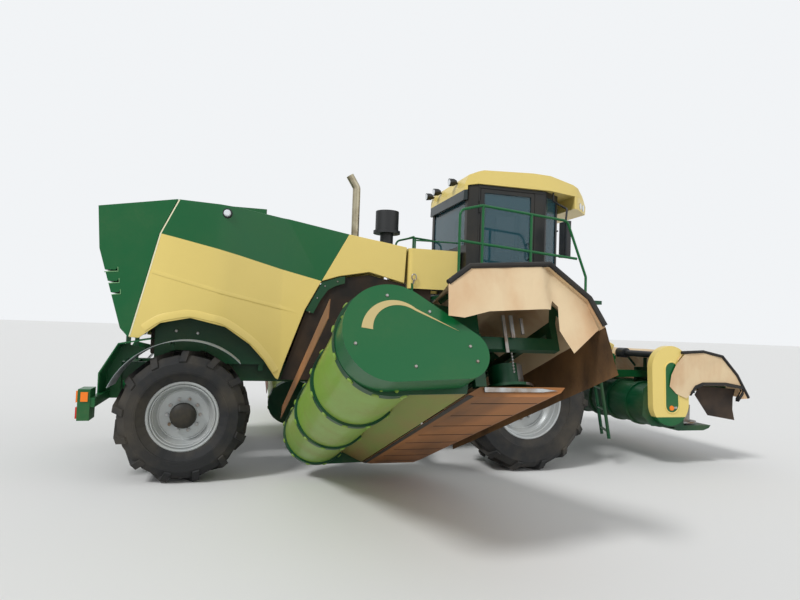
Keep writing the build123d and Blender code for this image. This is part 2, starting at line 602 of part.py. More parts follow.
# Platform, its posts from the frame, and the ladder
STEP_X = 1750
with BuildPart() as platform:
    block((-80, -PLATFORM_Y, PLATFORM_Z - 50), (STEP_X, PLATFORM_Y, PLATFORM_Z))
    block((-440, -430, PLATFORM_Z - 50), (-80 - SEAT, 430, PLATFORM_Z))
    for x in (200, 1600):
        blocks((x - 60, 335, RAIL_TOP), (x + 60, 425, PLATFORM_Z - 50 - SEAT))
    block((360, -700, PLATFORM_Z + SEAT), (1850, 700, CAB_FLOOR_Z))
    blocks((-400, 320, PLATFORM_Z + SEAT), (-100, 420, 2290 - SEAT))
    ladder_in, ladder_out = (2290, -1060), (2150, -1420)
    for x, y in (ladder_in, ladder_out):
        rod((x, y, 390), (x - 330, y, PLATFORM_Z - 30), 22)
    for i in range(6):
        z = 480 + i * 280
        back = -330 * (z - 390) / (PLATFORM_Z - 420)
        rod((ladder_in[0] + back, ladder_in[1], z), (ladder_out[0] + back, ladder_out[1], z), 16)
    block((STEP_X + SEAT, -1440, PLATFORM_Z - 50), (1990, -1040, PLATFORM_Z))
keep(platform.part, "platform")


# Railings on both sides of the platform
with BuildPart() as railings:
    for side in (-1, 1):
        y = side * (PLATFORM_Y - 30)
        tube_path([(-62, y, PLATFORM_Z), (-62, y, 3230), (230, y, 3310), (1430, y, 3215), (1720, y, 2500),
                   (1720, y, PLATFORM_Z)], RAIL_TUBE_R, 90)
        rod((-60, y, 2850), (1580, y, 2730), RAIL_TUBE_R)
        for x, top in ((245, 3305), (915, 3255)):
            rod((x, y, PLATFORM_Z), (x, y, top), RAIL_TUBE_R)
keep(railings.part, "railings")

with BuildPart() as mirrors:
    for side in (-1, 1):
        tube_path([(1600, side * 805, CAB_TOP_Z - SEAT), (1600, side * 805, 3620), (1600, side * 1180, 3440),
                   (1580, side * 1180, 3240)], 14, 40)
        y0, y1 = sorted((side * 1090, side * 1290))
        block((1540, y0, 2780), (1600, y1, 3260))
keep(mirrors.part, "mirrors")

# Rear mudguard plates, lamp housings and tow coupling
PLATE_IN, PLATE_OUT = 470, 900
TOW_X, TOW_R = -4190, 20
TOW_EAR = [(-4070, -70), (TOW_X, -70), (TOW_X - 50, -35), (TOW_X - 50, 35), (TOW_X, 70), (-4070, 70)]
with BuildPart() as rear_bumper:
    block((-4130, -1330, 800), (-4065, 1330, 900))
    blocks((-4230, 1060, 660), (-4110, 1340, 990))
    blocks((-4070, RAIL_IN, 800), (RAIL_REAR_X, 480, RAIL_TOP))
    for side in (-1, 1):
        slab(side_plane(max(side * PLATE_IN, side * PLATE_OUT)),
             [(-4126, 900), (-4128, 1126), (-3939, 1467), (-3600, 1530), (-3600, 1515), (-3935, 1452),
              (-4113, 1120),
              (-4111, 900)], PLATE_OUT - PLATE_IN)
        slab(side_plane(max(side * PLATE_IN, side * (PLATE_IN + 15))),
             [(-4112, 900), (-3950, 900), (-3950, 1230), (-3700, 1400), (-3935, 1452), (-4113, 1120)], 15)
    for z in (770, 900):
        with BuildSketch(Plane.XY.offset(z)) as ear:
            with BuildLine():
                Polyline(*TOW_EAR, close=True)
            make_face()
            with Locations((TOW_X, 0)):
                Circle(TOW_R, mode=Mode.SUBTRACT)
        extrude(ear.sketch, amount=30)
keep(rear_bumper.part, "rear_bumper")


with BuildPart() as lamps:
    for side in (-1, 1):
        y0, y1 = sorted((side * 1080, side * 1320))
        block((-4250, y0, 680), (-4230, y1, 800))
        block((-4250, y0, 850), (-4230, y1, 970))
    for start, end in ROOF_LAMPS:
        rod(start, end, LAMP_R)
keep(lamps.part, "lamps")


# Side mowers: each piece is drawn flat on the left side, raised to its place and then mirrored
FOLD_AXIS = Axis((0, PIVOT_Y, PIVOT_Z), (1, 0, 0))


def keep_raised(piece, name):
    """Raise a piece of the left mower to its rest angle and write it with its mirror image."""
    keep_pair(piece.rotate(FOLD_AXIS, REST_TILT), name)


def mow(points):
    """Points of a mower section, given forward and up from the fold pivot, in the model's frame."""
    return [(x, PIVOT_Z + w) for x, w in points]


CANVAS_T = 10
CANVAS_IN, CANVAS_OUT = 785, 3950
CANVAS_TOP = [(-1380, 200), (-1210, 330), (-600, 385), (-330, 140), (-250, -60), (-225, -400)]
CARRIER_LINE = cut_ends(CANVAS_TOP[:4], 50, 40)
SHELL_T = 8
RIB_T, RIB_H = 65, 22
RIB_V = (MOWER_IN + 12, 1390, 2500, MOWER_OUT - 12 - RIB_T)
MOUTH_LOW, MOUTH_HIGH = -38, 62
SHEET_IN, SHEET_OUT = MOWER_IN + 12, MOWER_OUT - 12
with BuildPart() as mower_hood:
    for low, high, outer in [(SHEET_IN, SHEET_OUT, ROLL_R - RIB_H)] + [(v, v + RIB_T,
                                                                        ROLL_R) for v in RIB_V]:
        middle = Plane(origin=(ROLL_X, PIVOT_Y + low, PIVOT_Z + ROLL_W), x_dir=(1, 0, 0), z_dir=(0, -1, 0))
        with BuildSketch(middle) as shell:
            with BuildLine():
                rim = CenterArc((0, 0), outer, MOUTH_HIGH, 360 + MOUTH_LOW - MOUTH_HIGH)
                bed = CenterArc((0, 0), ROLL_R - RIB_H - SHELL_T, MOUTH_HIGH, 360 + MOUTH_LOW - MOUTH_HIGH)
                Line(rim @ 0, bed @ 0)
                Line(rim @ 1, bed @ 1)
            make_face()
        extrude(shell.sketch, amount=low - high)
    face = side_plane(PIVOT_Y + SHEET_OUT)
    slab(face, mow([(-1430, -310), (-1190, -440), (-1190, -448), (-1434, -320)]), SHEET_OUT - SHEET_IN)
    slab(face, mow([(-1548, 222), (-1235, 130), (-1235, 120), (-1552, 212)]), SHEET_OUT - SHEET_IN)
keep_raised(mower_hood.part, "mower_hood")

INNER_END = [(-1700, 240), (-1050, 140), (-430, 100), (-430, -320), (-520, -400), (-1190, -450),
             (-1650, -460)]
OUTER_END = [(-1700, 240), (-1150, 160), (-1110, -100), (-1190, -450), (-1650, -460)]
with BuildPart() as mower_frame:
    for x in HINGE_X:
        start, end = (x - ARM_T / 2, PIVOT_Y, PIVOT_Z), (x + ARM_T / 2, PIVOT_Y, PIVOT_Z)
        block((x - ARM_T / 2, PIVOT_Y, PIVOT_Z - 55), (x + ARM_T / 2, PIVOT_Y + MOWER_IN, PIVOT_Z + 55))
        rod(start, end, 60)
        rod(start, end, PIN_R + FIT, mode=Mode.SUBTRACT)
    for v, outline in ((MOWER_IN, INNER_END), (MOWER_OUT - 12, OUTER_END)):
        face = side_plane(PIVOT_Y + v + 12)
        with BuildSketch(face) as end:
            with Locations((ROLL_X, PIVOT_Z + ROLL_W)):
                Circle(ROLL_R)
        extrude(end.sketch, amount=12)
        slab(face, mow(outline), 12)
    # length along the machine, height and the way outwards of each bar, from the fold pivot
    for (x0, x1), (w0, w1), (v0, v1) in [((-1230, -1050), (-20, 140), (MOWER_IN, MOWER_OUT)),
                                         ((-480, -430), (20, 90), (MOWER_IN, MOWER_OUT)),
                                         ((-1050, -480), (20, 80), (1390, 1450)),
                                         ((-1050, -480), (20, 80), (2500, 2560)),
                                         ((-1050, -430), (-130, -40), (3545, MOWER_OUT)),
                                         ((-480, -430), (-40, 20), (3545, MOWER_OUT)),
                                         ((-1120, -1040), (-399.7, -20), (3560, MOWER_OUT))]:
        block((x0, PIVOT_Y + v0, PIVOT_Z + w0), (x1, PIVOT_Y + v1, PIVOT_Z + w1))
    for v in (CANVAS_IN + 20, 1390, 2500, MOWER_OUT - 12):
        face = side_plane(PIVOT_Y + v + 12)
        slab(face, mow(band(CARRIER_LINE, CANVAS_T + SEAT, 45)), 12)
        slab(face, mow([(-1210, 130), (-1150, 130), (-1150, 300), (-1210, 290)]), 12)
        slab(face, mow([(-480, 80), (-430, 80), (-400, 180), (-450, 220)]), 12)
    for x in (LIFT_PIN_X - EAR_GAP / 2 - 20, LIFT_PIN_X + EAR_GAP / 2):
        slab(Plane(origin=(x, PIVOT_Y + EYE_V, PIVOT_Z), x_dir=(0, 1, 0), z_dir=(1, 0, 0)),
             [(-80, 130), (80, 130), (40, EYE_W + 40), (-40, EYE_W + 40)], 20)
keep_raised(mower_frame.part, "mower_frame")


def disc_row(x, low, first, step, count, radius, height):
    """Round cutting discs in a row, each on its hub."""
    for i in range(count):
        y = first + i * step
        rod((x, y, low), (x, y, low + 22), 60)
        rod((x, y, low + 22), (x, y, low + height), radius)
        rod((x, y, low + height), (x, y, low + height + 40), radius * 0.55)


BAR_TOP = PIVOT_Z - 400
BAR = [(-430, -402), (-470, -440), (-560, MOWER_BOTTOM), (-1080, MOWER_BOTTOM), (-1180, -452), (-1080, -400),
       (-520, -400)]
with BuildPart() as mower_cutterbar:
    slab(side_plane(PIVOT_Y + MOWER_OUT - 12), mow(BAR), MOWER_OUT - MOWER_IN - 24)
    disc_row(DISC_X, BAR_TOP - 5, PIVOT_Y + DISC_FIRST, DISC_STEP, DISCS - 1, DISC_R, 45)
keep_raised(mower_cutterbar.part, "mower_cutterbar")

DRUM_V = DISC_FIRST + (DISCS - 1) * DISC_STEP
with BuildPart() as mower_drum:
    y = PIVOT_Y + DRUM_V
    rod((DISC_X, y, BAR_TOP + 0.5), (DISC_X, y, BAR_TOP + 25), 70)
    rod((DISC_X, y, BAR_TOP + 25), (DISC_X, y, BAR_TOP + 45), DISC_R)
    rod((DISC_X, y, BAR_TOP + 45), (DISC_X, y, BAR_TOP + 200), 125)
keep_raised(mower_drum.part, "mower_drum")

COVER_V0, COVER_V1 = MOWER_OUT + 0.5, MOWER_OUT + 250
with BuildPart() as mower_end_cover:
    with BuildSketch(side_plane(PIVOT_Y + COVER_V1)) as cover:
        with BuildLine():
            CenterArc((-1755, PIVOT_Z - 115), 325, 0, 360)
            CenterArc((-1275, PIVOT_Z - 250), 165, 0, 360)
        make_hull()
    extrude(cover.sketch, amount=COVER_V1 - COVER_V0)
keep_raised(mower_end_cover.part, "mower_end_cover")

CANVAS_END = [(-1400, -20), (-1380, 200), (-1210, 330), (-600, 385), (-330, 140), (-270, -60), (-500, -240),
              (-590, -40), (-670, 60), (-1110, 20), (-1290, -30)]
with BuildPart() as mower_canvas:
    slab(side_plane(PIVOT_Y + CANVAS_OUT), mow(band(CANVAS_TOP, 0, CANVAS_T)), CANVAS_OUT - CANVAS_IN)
    slab(side_plane(PIVOT_Y + CANVAS_OUT), mow(CANVAS_END), CANVAS_T)
keep_raised(mower_canvas.part, "mower_canvas")

# Lift cylinder of each side mower, from the tower on the frame to the lug on the mower
pin = Vector(LIFT_PIN_X, CYLINDER_Y, CYLINDER_Z)
tilt = radians(REST_TILT)
eye = Vector(LIFT_PIN_X, PIVOT_Y + EYE_V * cos(tilt) - EYE_W * sin(tilt),
             PIVOT_Z + EYE_V * sin(tilt) + EYE_W * cos(tilt))
reach = (eye - pin).length
along = (eye - pin).normalized()
BARREL_R, ROD_R = 50, 28
BARREL_END, BORE_START, ROD_START = 760, 70, 590
with BuildPart() as lift_barrel:
    rod(tuple(pin + along * 40), tuple(pin + along * BARREL_END), BARREL_R)
    rod((LIFT_PIN_X - 50, CYLINDER_Y, CYLINDER_Z), (LIFT_PIN_X + 50, CYLINDER_Y, CYLINDER_Z), 48)
    rod(tuple(pin + along * BORE_START), tuple(pin + along * (BARREL_END + 10)), ROD_R + FIT,
        mode=Mode.SUBTRACT)
    rod((LIFT_PIN_X - 60, CYLINDER_Y, CYLINDER_Z), (LIFT_PIN_X + 60, CYLINDER_Y, CYLINDER_Z), 20 + FIT,
        mode=Mode.SUBTRACT)
keep_pair(lift_barrel.part, "lift_barrel")
with BuildPart() as lift_rod:
    rod(tuple(pin + along * ROD_START), tuple(pin + along * (reach - 20)), ROD_R)
    rod(tuple(eye - Vector(EAR_GAP / 2 - 5, 0, 0)), tuple(eye + Vector(EAR_GAP / 2 - 5, 0, 0)), 34)
    rod(tuple(eye - Vector(EAR_GAP / 2, 0, 0)), tuple(eye + Vector(EAR_GAP / 2, 0, 0)), 21,
        mode=Mode.SUBTRACT)
keep_pair(lift_rod.part, "lift_rod")

# Front lift arms with the cover between them
ARM_IN, ARM_OUT = 590, 650
LIFT_ARM = [(1960, 1300), (1990, 1640), (2353, 1600), (2760, 1480), (2800, 1250), (3300, 1245), (3360, 1200),
            (3300, 1150), (2760, 1140), (2050, 1280)]
LIFT_COVER = [(2240, 1420), (2200, 1480), (2200, 1790), (2330, 1765), (2950, 1450), (2950, 1400),
              (2800, 1380),
              (2360, 1420)]
with BuildPart() as front_lift:
    for side in (-1, 1):
        y = max(side * ARM_IN, side * ARM_OUT)
        slab(side_plane(y), LIFT_ARM, ARM_OUT - ARM_IN)
        rod((LIFT_X, side * (ARM_IN - 5), LIFT_Z), (LIFT_X, side * (ARM_OUT + 5), LIFT_Z), PIN_R + FIT,
            mode=Mode.SUBTRACT)
        rod((CARRIER_X, side * 500, CARRIER_Z), (CARRIER_X, side * ARM_IN, CARRIER_Z), 25)
    block((2240, -ARM_IN, 1300), (2360, ARM_IN, 1420))
    slab(side_plane(420), LIFT_COVER, 840)
keep(front_lift.part, "front_lift")

# Front mower, raised and level
FRONT_CANVAS = [(3060, 1450), (3130, 1540), (3480, 1560), (3800, 1500), (4050, 1250), (FRONT_X, 940)]
FRONT_CARRIER_LINE = cut_ends(FRONT_CANVAS[1:5], 70, 30)
F_ROLL_X, F_ROLL_Z, F_ROLL_R = 2905, 820, 300
FRONT_BOTTOM = 490
FRONT_END = [(2620, 1060), (2760, 1180), (3260, 1190), (3260, 560), (3120, 540), (2750, 560), (2600, 700)]
FRONT_BAR = [(3720, 558), (3690, 520), (3600, FRONT_BOTTOM), (3180, FRONT_BOTTOM), (3100, 520), (3180, 560),
             (3640, 560)]
FRONT_CANVAS_END = [(2880, 1130), (3000, 1380), (3130, 1540), (3480, 1560), (3800, 1500), (4050, 1250),
                    (4230, 940), (4020, 900), (3900, 1100), (3300, 1130), (3150, 940), (2960, 960)]
with BuildPart() as front_mower_frame:
    for side in (-1, 1):
        y0, y1 = sorted((side * 525, side * 580))
        slab(side_plane(y1), [(3200, 1000), (3200, 1290), (3400, 1290), (3440, 1130), (3440, 1000)], 55)
        rod((CARRIER_X, side * 515, CARRIER_Z), (CARRIER_X, side * 590, CARRIER_Z), 25 + FIT,
            mode=Mode.SUBTRACT)
        slab(side_plane(max(side * FRONT_HALF, side * (FRONT_HALF - 12))), FRONT_END, 12)
    block((3250, -FRONT_HALF, 1000), (3440, FRONT_HALF, 1090))
    for y in (-1450, -500, 512, 1462):
        slab(side_plane(y), band(FRONT_CARRIER_LINE, CANVAS_T + SEAT, 45), 12)
        slab(side_plane(y), [(3380, 1090), (3440, 1090), (3440, 1530), (3380, 1530)], 12)
keep(front_mower_frame.part, "front_mower_frame")

FRONT_RIBS = (-1100, -660, -220, 220, 660, 1100)
# edges of the ribbed housing's segments in degrees, from straight ahead upwards and over to the rear
HOOD_EDGES = (MOUTH_HIGH, 90, 123, 150, 180, 210, 237, 270, 303, 360 + MOUTH_LOW)
with BuildPart() as front_mower_hood:
    outer, inner = F_ROLL_R - RIB_H, F_ROLL_R - RIB_H - SHELL_T
    gap = degrees(SEAT / inner)
    roll_axis = Axis((F_ROLL_X, 0, F_ROLL_Z), (0, -1, 0))
    for start, end in zip(HOOD_EDGES, HOOD_EDGES[1:]):
        turn = radians(start + gap / 2)
        cut = Plane(origin=(F_ROLL_X, 0, F_ROLL_Z), x_dir=(0, 1, 0), z_dir=(sin(turn), 0, -cos(turn)))
        with BuildSketch(cut) as wall:
            with Locations((0, (outer + inner) / 2)):
                Rectangle(2 * FRONT_HALF - 24, SHELL_T)
            with Locations(*[(y, (F_ROLL_R + inner) / 2) for y in FRONT_RIBS]):
                Rectangle(RIB_T, F_ROLL_R - inner)
        revolve(wall.sketch, axis=roll_axis, revolution_arc=end - start - gap)
keep(front_mower_hood.part, "front_mower_hood")

with BuildPart() as front_cutterbar:
    slab(side_plane(FRONT_HALF - 12), FRONT_BAR, 2 * FRONT_HALF - 24)
    disc_row(3400, 555, -1290 + 430, 430, 6, DISC_R, 45)
keep(front_cutterbar.part, "front_cutterbar")

with BuildPart() as front_drum:
    rod((3400, -1290, 560.5), (3400, -1290, 585), 70)
    rod((3400, -1290, 585), (3400, -1290, 605), DISC_R)
    rod((3400, -1290, 605), (3400, -1290, 820), 110)
keep(front_drum.part, "front_drum")

GUARD_IN, GUARD_OUT = 1500.5, 1600
with BuildPart() as belt_guard:
    with BuildSketch(side_plane(-GUARD_IN)) as outline:
        with BuildLine():
            CenterArc((2955, 1345), 290, 0, 360)
            CenterArc((2970, 860), 285, 0, 360)
        make_hull()
    extrude(outline.sketch, amount=GUARD_OUT - GUARD_IN)
keep(belt_guard.part, "belt_guard")

with BuildPart() as drive_shaft:
    rod((2990, -GUARD_IN, 1500), (2990, -450, 1500), 45)
    rod((2990, -GUARD_IN, 1500), (2990, -GUARD_IN + 180, 1500), 72)
    rod((2990, -620, 1500), (2990, -450, 1500), 72)
keep(drive_shaft.part, "drive_shaft")

with BuildPart() as front_canvas:
    slab(side_plane(1620), band(FRONT_CANVAS, 0, CANVAS_T), 3240)
    for y in (1620, -1610):
        slab(side_plane(y), FRONT_CANVAS_END, CANVAS_T)
    block((3000, -GUARD_OUT - 5, 1300), (3255, -FRONT_HALF + 20, 1700), mode=Mode.SUBTRACT)
keep(front_canvas.part, "front_canvas")
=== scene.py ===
"""Looks of the self-propelled mower conditioner: materials, cloth, small parts, camera and light."""
import math

import bpy
from mathutils import Matrix, Vector, geometry, noise


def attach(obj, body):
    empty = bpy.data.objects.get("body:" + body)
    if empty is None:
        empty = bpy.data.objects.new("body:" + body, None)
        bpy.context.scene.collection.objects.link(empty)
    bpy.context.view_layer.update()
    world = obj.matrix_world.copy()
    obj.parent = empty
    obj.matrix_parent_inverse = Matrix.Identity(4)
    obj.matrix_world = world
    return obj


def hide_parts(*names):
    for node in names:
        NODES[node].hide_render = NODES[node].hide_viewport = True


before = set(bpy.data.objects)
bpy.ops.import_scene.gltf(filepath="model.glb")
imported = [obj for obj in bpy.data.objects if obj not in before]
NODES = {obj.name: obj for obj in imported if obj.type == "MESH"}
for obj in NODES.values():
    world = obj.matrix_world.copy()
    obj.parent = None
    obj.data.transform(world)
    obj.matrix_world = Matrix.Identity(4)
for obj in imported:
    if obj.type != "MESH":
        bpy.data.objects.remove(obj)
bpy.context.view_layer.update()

# Sizes taken over from the CAD part, in metres
PIVOT_Y, PIVOT_Z = 1.02, 0.50
TILT = math.radians(20)
ROLL_X, ROLL_W, ROLL_R = -1.71, -0.09, 0.38
RIB_H, RIB_T, RIB_V = 0.022, 0.065, (0.302, 1.39, 2.50, 3.543)
CANVAS_TOP = [(-1.38, 0.2), (-1.21, 0.33), (-0.6, 0.385), (-0.33, 0.14), (-0.25, -0.06)]
CURTAIN = [(-0.25, -0.06), (-0.225, -0.40)]
CANVAS_IN, CANVAS_OUT = 0.785, 3.95
END_CLOTH = [(-1.40, -0.02), (-1.38, 0.20), (-1.21, 0.33), (-0.60, 0.385), (-0.33, 0.14),
             (-0.27, -0.06), (-0.50, -0.24), (-0.58, -0.08), (-0.56, 0.10), (-0.60, 0.14),
             (-0.64, 0.06), (-1.11, 0.02), (-1.29, -0.03)]
FRONT_CANVAS = [(3.06, 1.45), (3.13, 1.54), (3.48, 1.56), (3.80, 1.50), (4.05, 1.25), (4.25, 0.94)]
FRONT_END = [(2.93, 1.10), (2.95, 1.25), (3.03, 1.40), (3.16, 1.53), (3.48, 1.56), (3.80, 1.50),
             (4.05, 1.25), (4.23, 0.94), (4.05, 0.93), (4.12, 1.06), (3.84, 1.13), (3.45, 1.13),
             (3.30, 1.04), (3.20, 0.94), (3.04, 1.00)]
FRONT_HALF = 1.62
PLAN = [(-4.25, 0.80), (-3.40, 0.88), (-2.90, 0.86), (-2.13, 0.60), (-0.40, 0.58)]
COVER_OUT = 3.87
MOWER_IN, MOWER_OUT = 0.31, 3.60
# End, axle X and Z, hub's face Y and radius, circle and number of nuts, rim's radius, tyre's width
WHEELS = (("front", 0.965, 0.855, 1.295, 0.17, 0.225, 12, 0.454, 0.71),
          ("rear", -3.175, 0.71, 1.35, 0.13, 0.175, 10, 0.378, 0.60))
TYRE_OUT = 1.5
SIDES = (("left", 1), ("right", -1))


def raised(x, v, w, side):
    """A point of a side mower, from its flat section to its raised place."""
    y = PIVOT_Y + v * math.cos(TILT) - w * math.sin(TILT)
    z = PIVOT_Z + v * math.sin(TILT) + w * math.cos(TILT)
    return Vector((x, side * y, z))


def outward(side):
    """Direction along a side mower, away from the machine."""
    return raised(0, 1, 0, side) - raised(0, 0, 0, side)


def downward(side):
    """Direction square to a side mower's underside."""
    return raised(0, 0, -1, side) - raised(0, 0, 0, side)


def band(edges, side):
    """Corners of a strip along a side mower between two edges, each given by its X and W."""
    (x0, w0), (x1, w1) = edges
    return [raised(x0, MOWER_IN, w0, side), raised(x0, MOWER_OUT, w0, side),
            raised(x1, MOWER_OUT, w1, side), raised(x1, MOWER_IN, w1, side)]


def round_roll(v, radius, degrees, side):
    """A point round the axis of a side mower's conditioner roll."""
    a = math.radians(degrees)
    return raised(ROLL_X + radius * math.cos(a), v, ROLL_W + radius * math.sin(a), side)


def hood_y(x):
    """Half width of the hood at one X."""
    for (x0, y0), (x1, y1) in zip(PLAN, PLAN[1:]):
        if x <= x1:
            return y0 + (y1 - y0) * (x - x0) / (x1 - x0)
    return PLAN[-1][1]


def linear(red, green, blue):
    """A colour given as it looks on a screen, 0 to 255, for the shader."""
    return tuple(((c / 255 + 0.055) / 1.055) ** 2.4 if c > 10 else c / 255 / 12.92
                 for c in (red, green, blue))


# Materials
class Graph:
    """Small helper that wires shader nodes."""

    def __init__(self, name):
        self.material = bpy.data.materials.new(name)
        self.material.use_nodes = True
        self.tree = self.material.node_tree
        self.shader = self.tree.nodes["Principled BSDF"]
        self.place = self.tree.nodes.new("ShaderNodeTexCoord").outputs["Object"]
        split = self.tree.nodes.new("ShaderNodeSeparateXYZ")
        self.tree.links.new(self.place, split.inputs[0])
        self.x, self.y, self.z = split.outputs

    def put(self, socket, value):
        """Gives a socket a link, a colour or a number."""
        if hasattr(value, "links"):
            self.tree.links.new(value, socket)
        elif hasattr(value, "__len__") and len(value) == 3 and socket.type == "RGBA":
            socket.default_value = (*value, 1)
        else:
            socket.default_value = value

    def math(self, kind, a, b=0.0, c=0.0):
        """One sum of up to three values."""
        node = self.tree.nodes.new("ShaderNodeMath")
        node.operation = kind
        for socket, value in zip(node.inputs, (a, b, c)):
            self.put(socket, value)
        return node.outputs[0]

    def ramp(self, value, low, high):
        """A value spread from low to high over 0 to 1."""
        node = self.tree.nodes.new("ShaderNodeMapRange")
        for socket, given in zip(node.inputs, (value, low, high, 0.0, 1.0)):
            self.put(socket, given)
        return node.outputs[0]

    def noise(self, scale, detail=4.0, stretch=None):
        """Noise over the object's own coordinates, stretched if asked."""
        node = self.tree.nodes.new("ShaderNodeTexNoise")
        node.inputs["Scale"].default_value = scale
        node.inputs["Detail"].default_value = detail
        place = self.place
        if stretch:
            move = self.tree.nodes.new("ShaderNodeMapping")
            move.inputs["Scale"].default_value = stretch
            self.tree.links.new(place, move.inputs[0])
            place = move.outputs[0]
        self.tree.links.new(place, node.inputs["Vector"])
        return node.outputs[0]

    def mix(self, share, a, b):
        """Two colours mixed by a share of the second."""
        node = self.tree.nodes.new("ShaderNodeMix")
        node.data_type = "RGBA"
        self.put(node.inputs[0], share)
        self.put(node.inputs[6], a)
        self.put(node.inputs[7], b)
        return node.outputs[2]

    def set(self, name, value):
        self.put(self.shader.inputs[name], value)

    def bump(self, height, strength, distance=0.01):
        """Fine unevenness of the surface."""
        node = self.tree.nodes.new("ShaderNodeBump")
        node.inputs["Strength"].default_value = strength
        node.inputs["Distance"].default_value = distance
        self.put(node.inputs["Height"], height)
        self.tree.links.new(node.outputs[0], self.shader.inputs["Normal"])


DUST = linear(150, 130, 95)


def paint(name, colour, rough=0.35, dust=0.25, coat=0.08, metal=0.0, low=0.2, high=1.6, recolour=None):
    """Paint with some dust, more of it near the ground and in patches."""
    graph = Graph(name)
    base = recolour(graph, colour) if recolour else colour
    patch = graph.ramp(graph.noise(2.2), 0.42, 0.72)
    fine = graph.ramp(graph.noise(28.0), 0.35, 0.75)
    height = graph.ramp(graph.z, high, low)
    share = graph.math("MULTIPLY", graph.math("ADD", graph.math("MULTIPLY", height, 0.7), 0.3), patch)
    share = graph.math("MULTIPLY", graph.math("MULTIPLY_ADD", fine, 0.5, 0.5), share)
    graph.set("Base Color", graph.mix(graph.math("MULTIPLY", share, dust), base, DUST))
    graph.set("Roughness", graph.math("MULTIPLY_ADD", share, 0.4, rough))
    graph.set("Metallic", metal)
    graph.set("Coat Weight", coat)
    graph.set("Coat Roughness", 0.12)
    graph.set("Specular IOR Level", 0.3)
    return graph.material


GREEN = linear(4, 92, 46)
DARK_GREEN = linear(8, 66, 38)
LIGHT_GREEN = linear(126, 162, 56)
CREAM = linear(232, 208, 122)


# Slope and offset of the green part's lower edge, in two stretches, and of its slanting front end
GREEN_EDGE = ((-0.2109, 2.0052), (-0.2336, 1.9451))
GREEN_FRONT = (0.5376, -2.8568)
GUARD_FOOT = 0.69
EAVE_Z, EAVE_X, EAVE_TONE = 3.68, 0.42, linear(28, 42, 46)


def striped(graph, cream):
    """Green upper part of the hood's side, down to its sloping lower edge."""
    line = graph.math("MINIMUM", *(graph.math("MULTIPLY_ADD", graph.x, *edge) for edge in GREEN_EDGE))
    above = graph.math("GREATER_THAN", graph.z, line)
    slant = graph.math("MULTIPLY_ADD", graph.z, *GREEN_FRONT)
    behind = graph.math("LESS_THAN", graph.x, slant)
    return graph.mix(graph.math("MULTIPLY", above, behind), cream, GREEN)


def guard_halves(graph, cream):
    """Cream upper part of the belt guard above its green foot."""
    return graph.mix(graph.math("GREATER_THAN", graph.z, GUARD_FOOT), GREEN, cream)


def thin_eave(graph, cream):
    """Cream roof whose rear face is dark, like the glass under it, below its thin edge."""
    low = graph.math("LESS_THAN", graph.z, EAVE_Z)
    rear = graph.math("LESS_THAN", graph.x, EAVE_X)
    return graph.mix(graph.math("MULTIPLY", low, rear), cream, EAVE_TONE)


def weathered(name, colour, other, scale, rough=0.7, metal=0.0, stretch=None, bump=0.25):
    """A worn surface in two tones."""
    graph = Graph(name)
    share = graph.ramp(graph.noise(scale, 6.0, stretch), 0.38, 0.66)
    graph.set("Base Color", graph.mix(share, colour, other))
    graph.set("Roughness", rough)
    graph.set("Metallic", metal)
    graph.bump(graph.noise(scale * 6, 5.0), bump, 0.004)
    return graph.material


def tinted_glass():
    """Dark glass that still shows the inside of the cab."""
    graph = Graph("window_glass")
    graph.set("Base Color", linear(44, 84, 96))
    graph.set("Roughness", 0.03)
    graph.set("Alpha", 0.72)
    return graph.material


def rubber(name, shade, dusty):
    """Matt rubber with patches of dust."""
    graph = Graph(name)
    patch = graph.ramp(graph.noise(3.0), 0.4, 0.75)
    share = graph.math("MULTIPLY", patch, dusty)
    graph.set("Base Color", graph.mix(share, linear(*shade), linear(120, 108, 88)))
    graph.set("Roughness", 0.75)
    graph.bump(graph.noise(90.0), 0.15, 0.003)
    return graph.material


def plain(name, colour, rough=0.5, metal=0.0, glow=0.0):
    """One even colour, with a little glow for a lamp's lens."""
    graph = Graph(name)
    graph.set("Base Color", colour)
    graph.set("Roughness", rough)
    graph.set("Metallic", metal)
    if glow:
        graph.set("Emission Color", colour)
        graph.set("Emission Strength", glow)
    return graph.material


def canvas_cloth(name, colour, stain, amount):
    """Coated canvas with stains and streaks."""
    graph = Graph(name)
    big = graph.ramp(graph.noise(1.6, 5.0), 0.45, 0.78)
    streak = graph.ramp(graph.noise(3.5, 4.0, (1.0, 1.0, 0.3)), 0.5, 0.8)
    share = graph.math("MULTIPLY", graph.math("ADD", big, streak), amount)
    graph.set("Base Color", graph.mix(graph.math("MINIMUM", share, 1.0), colour, stain))
    graph.set("Roughness", 0.72)
    graph.bump(graph.noise(7.0, 3.0), 0.5, 0.02)
    return graph.material


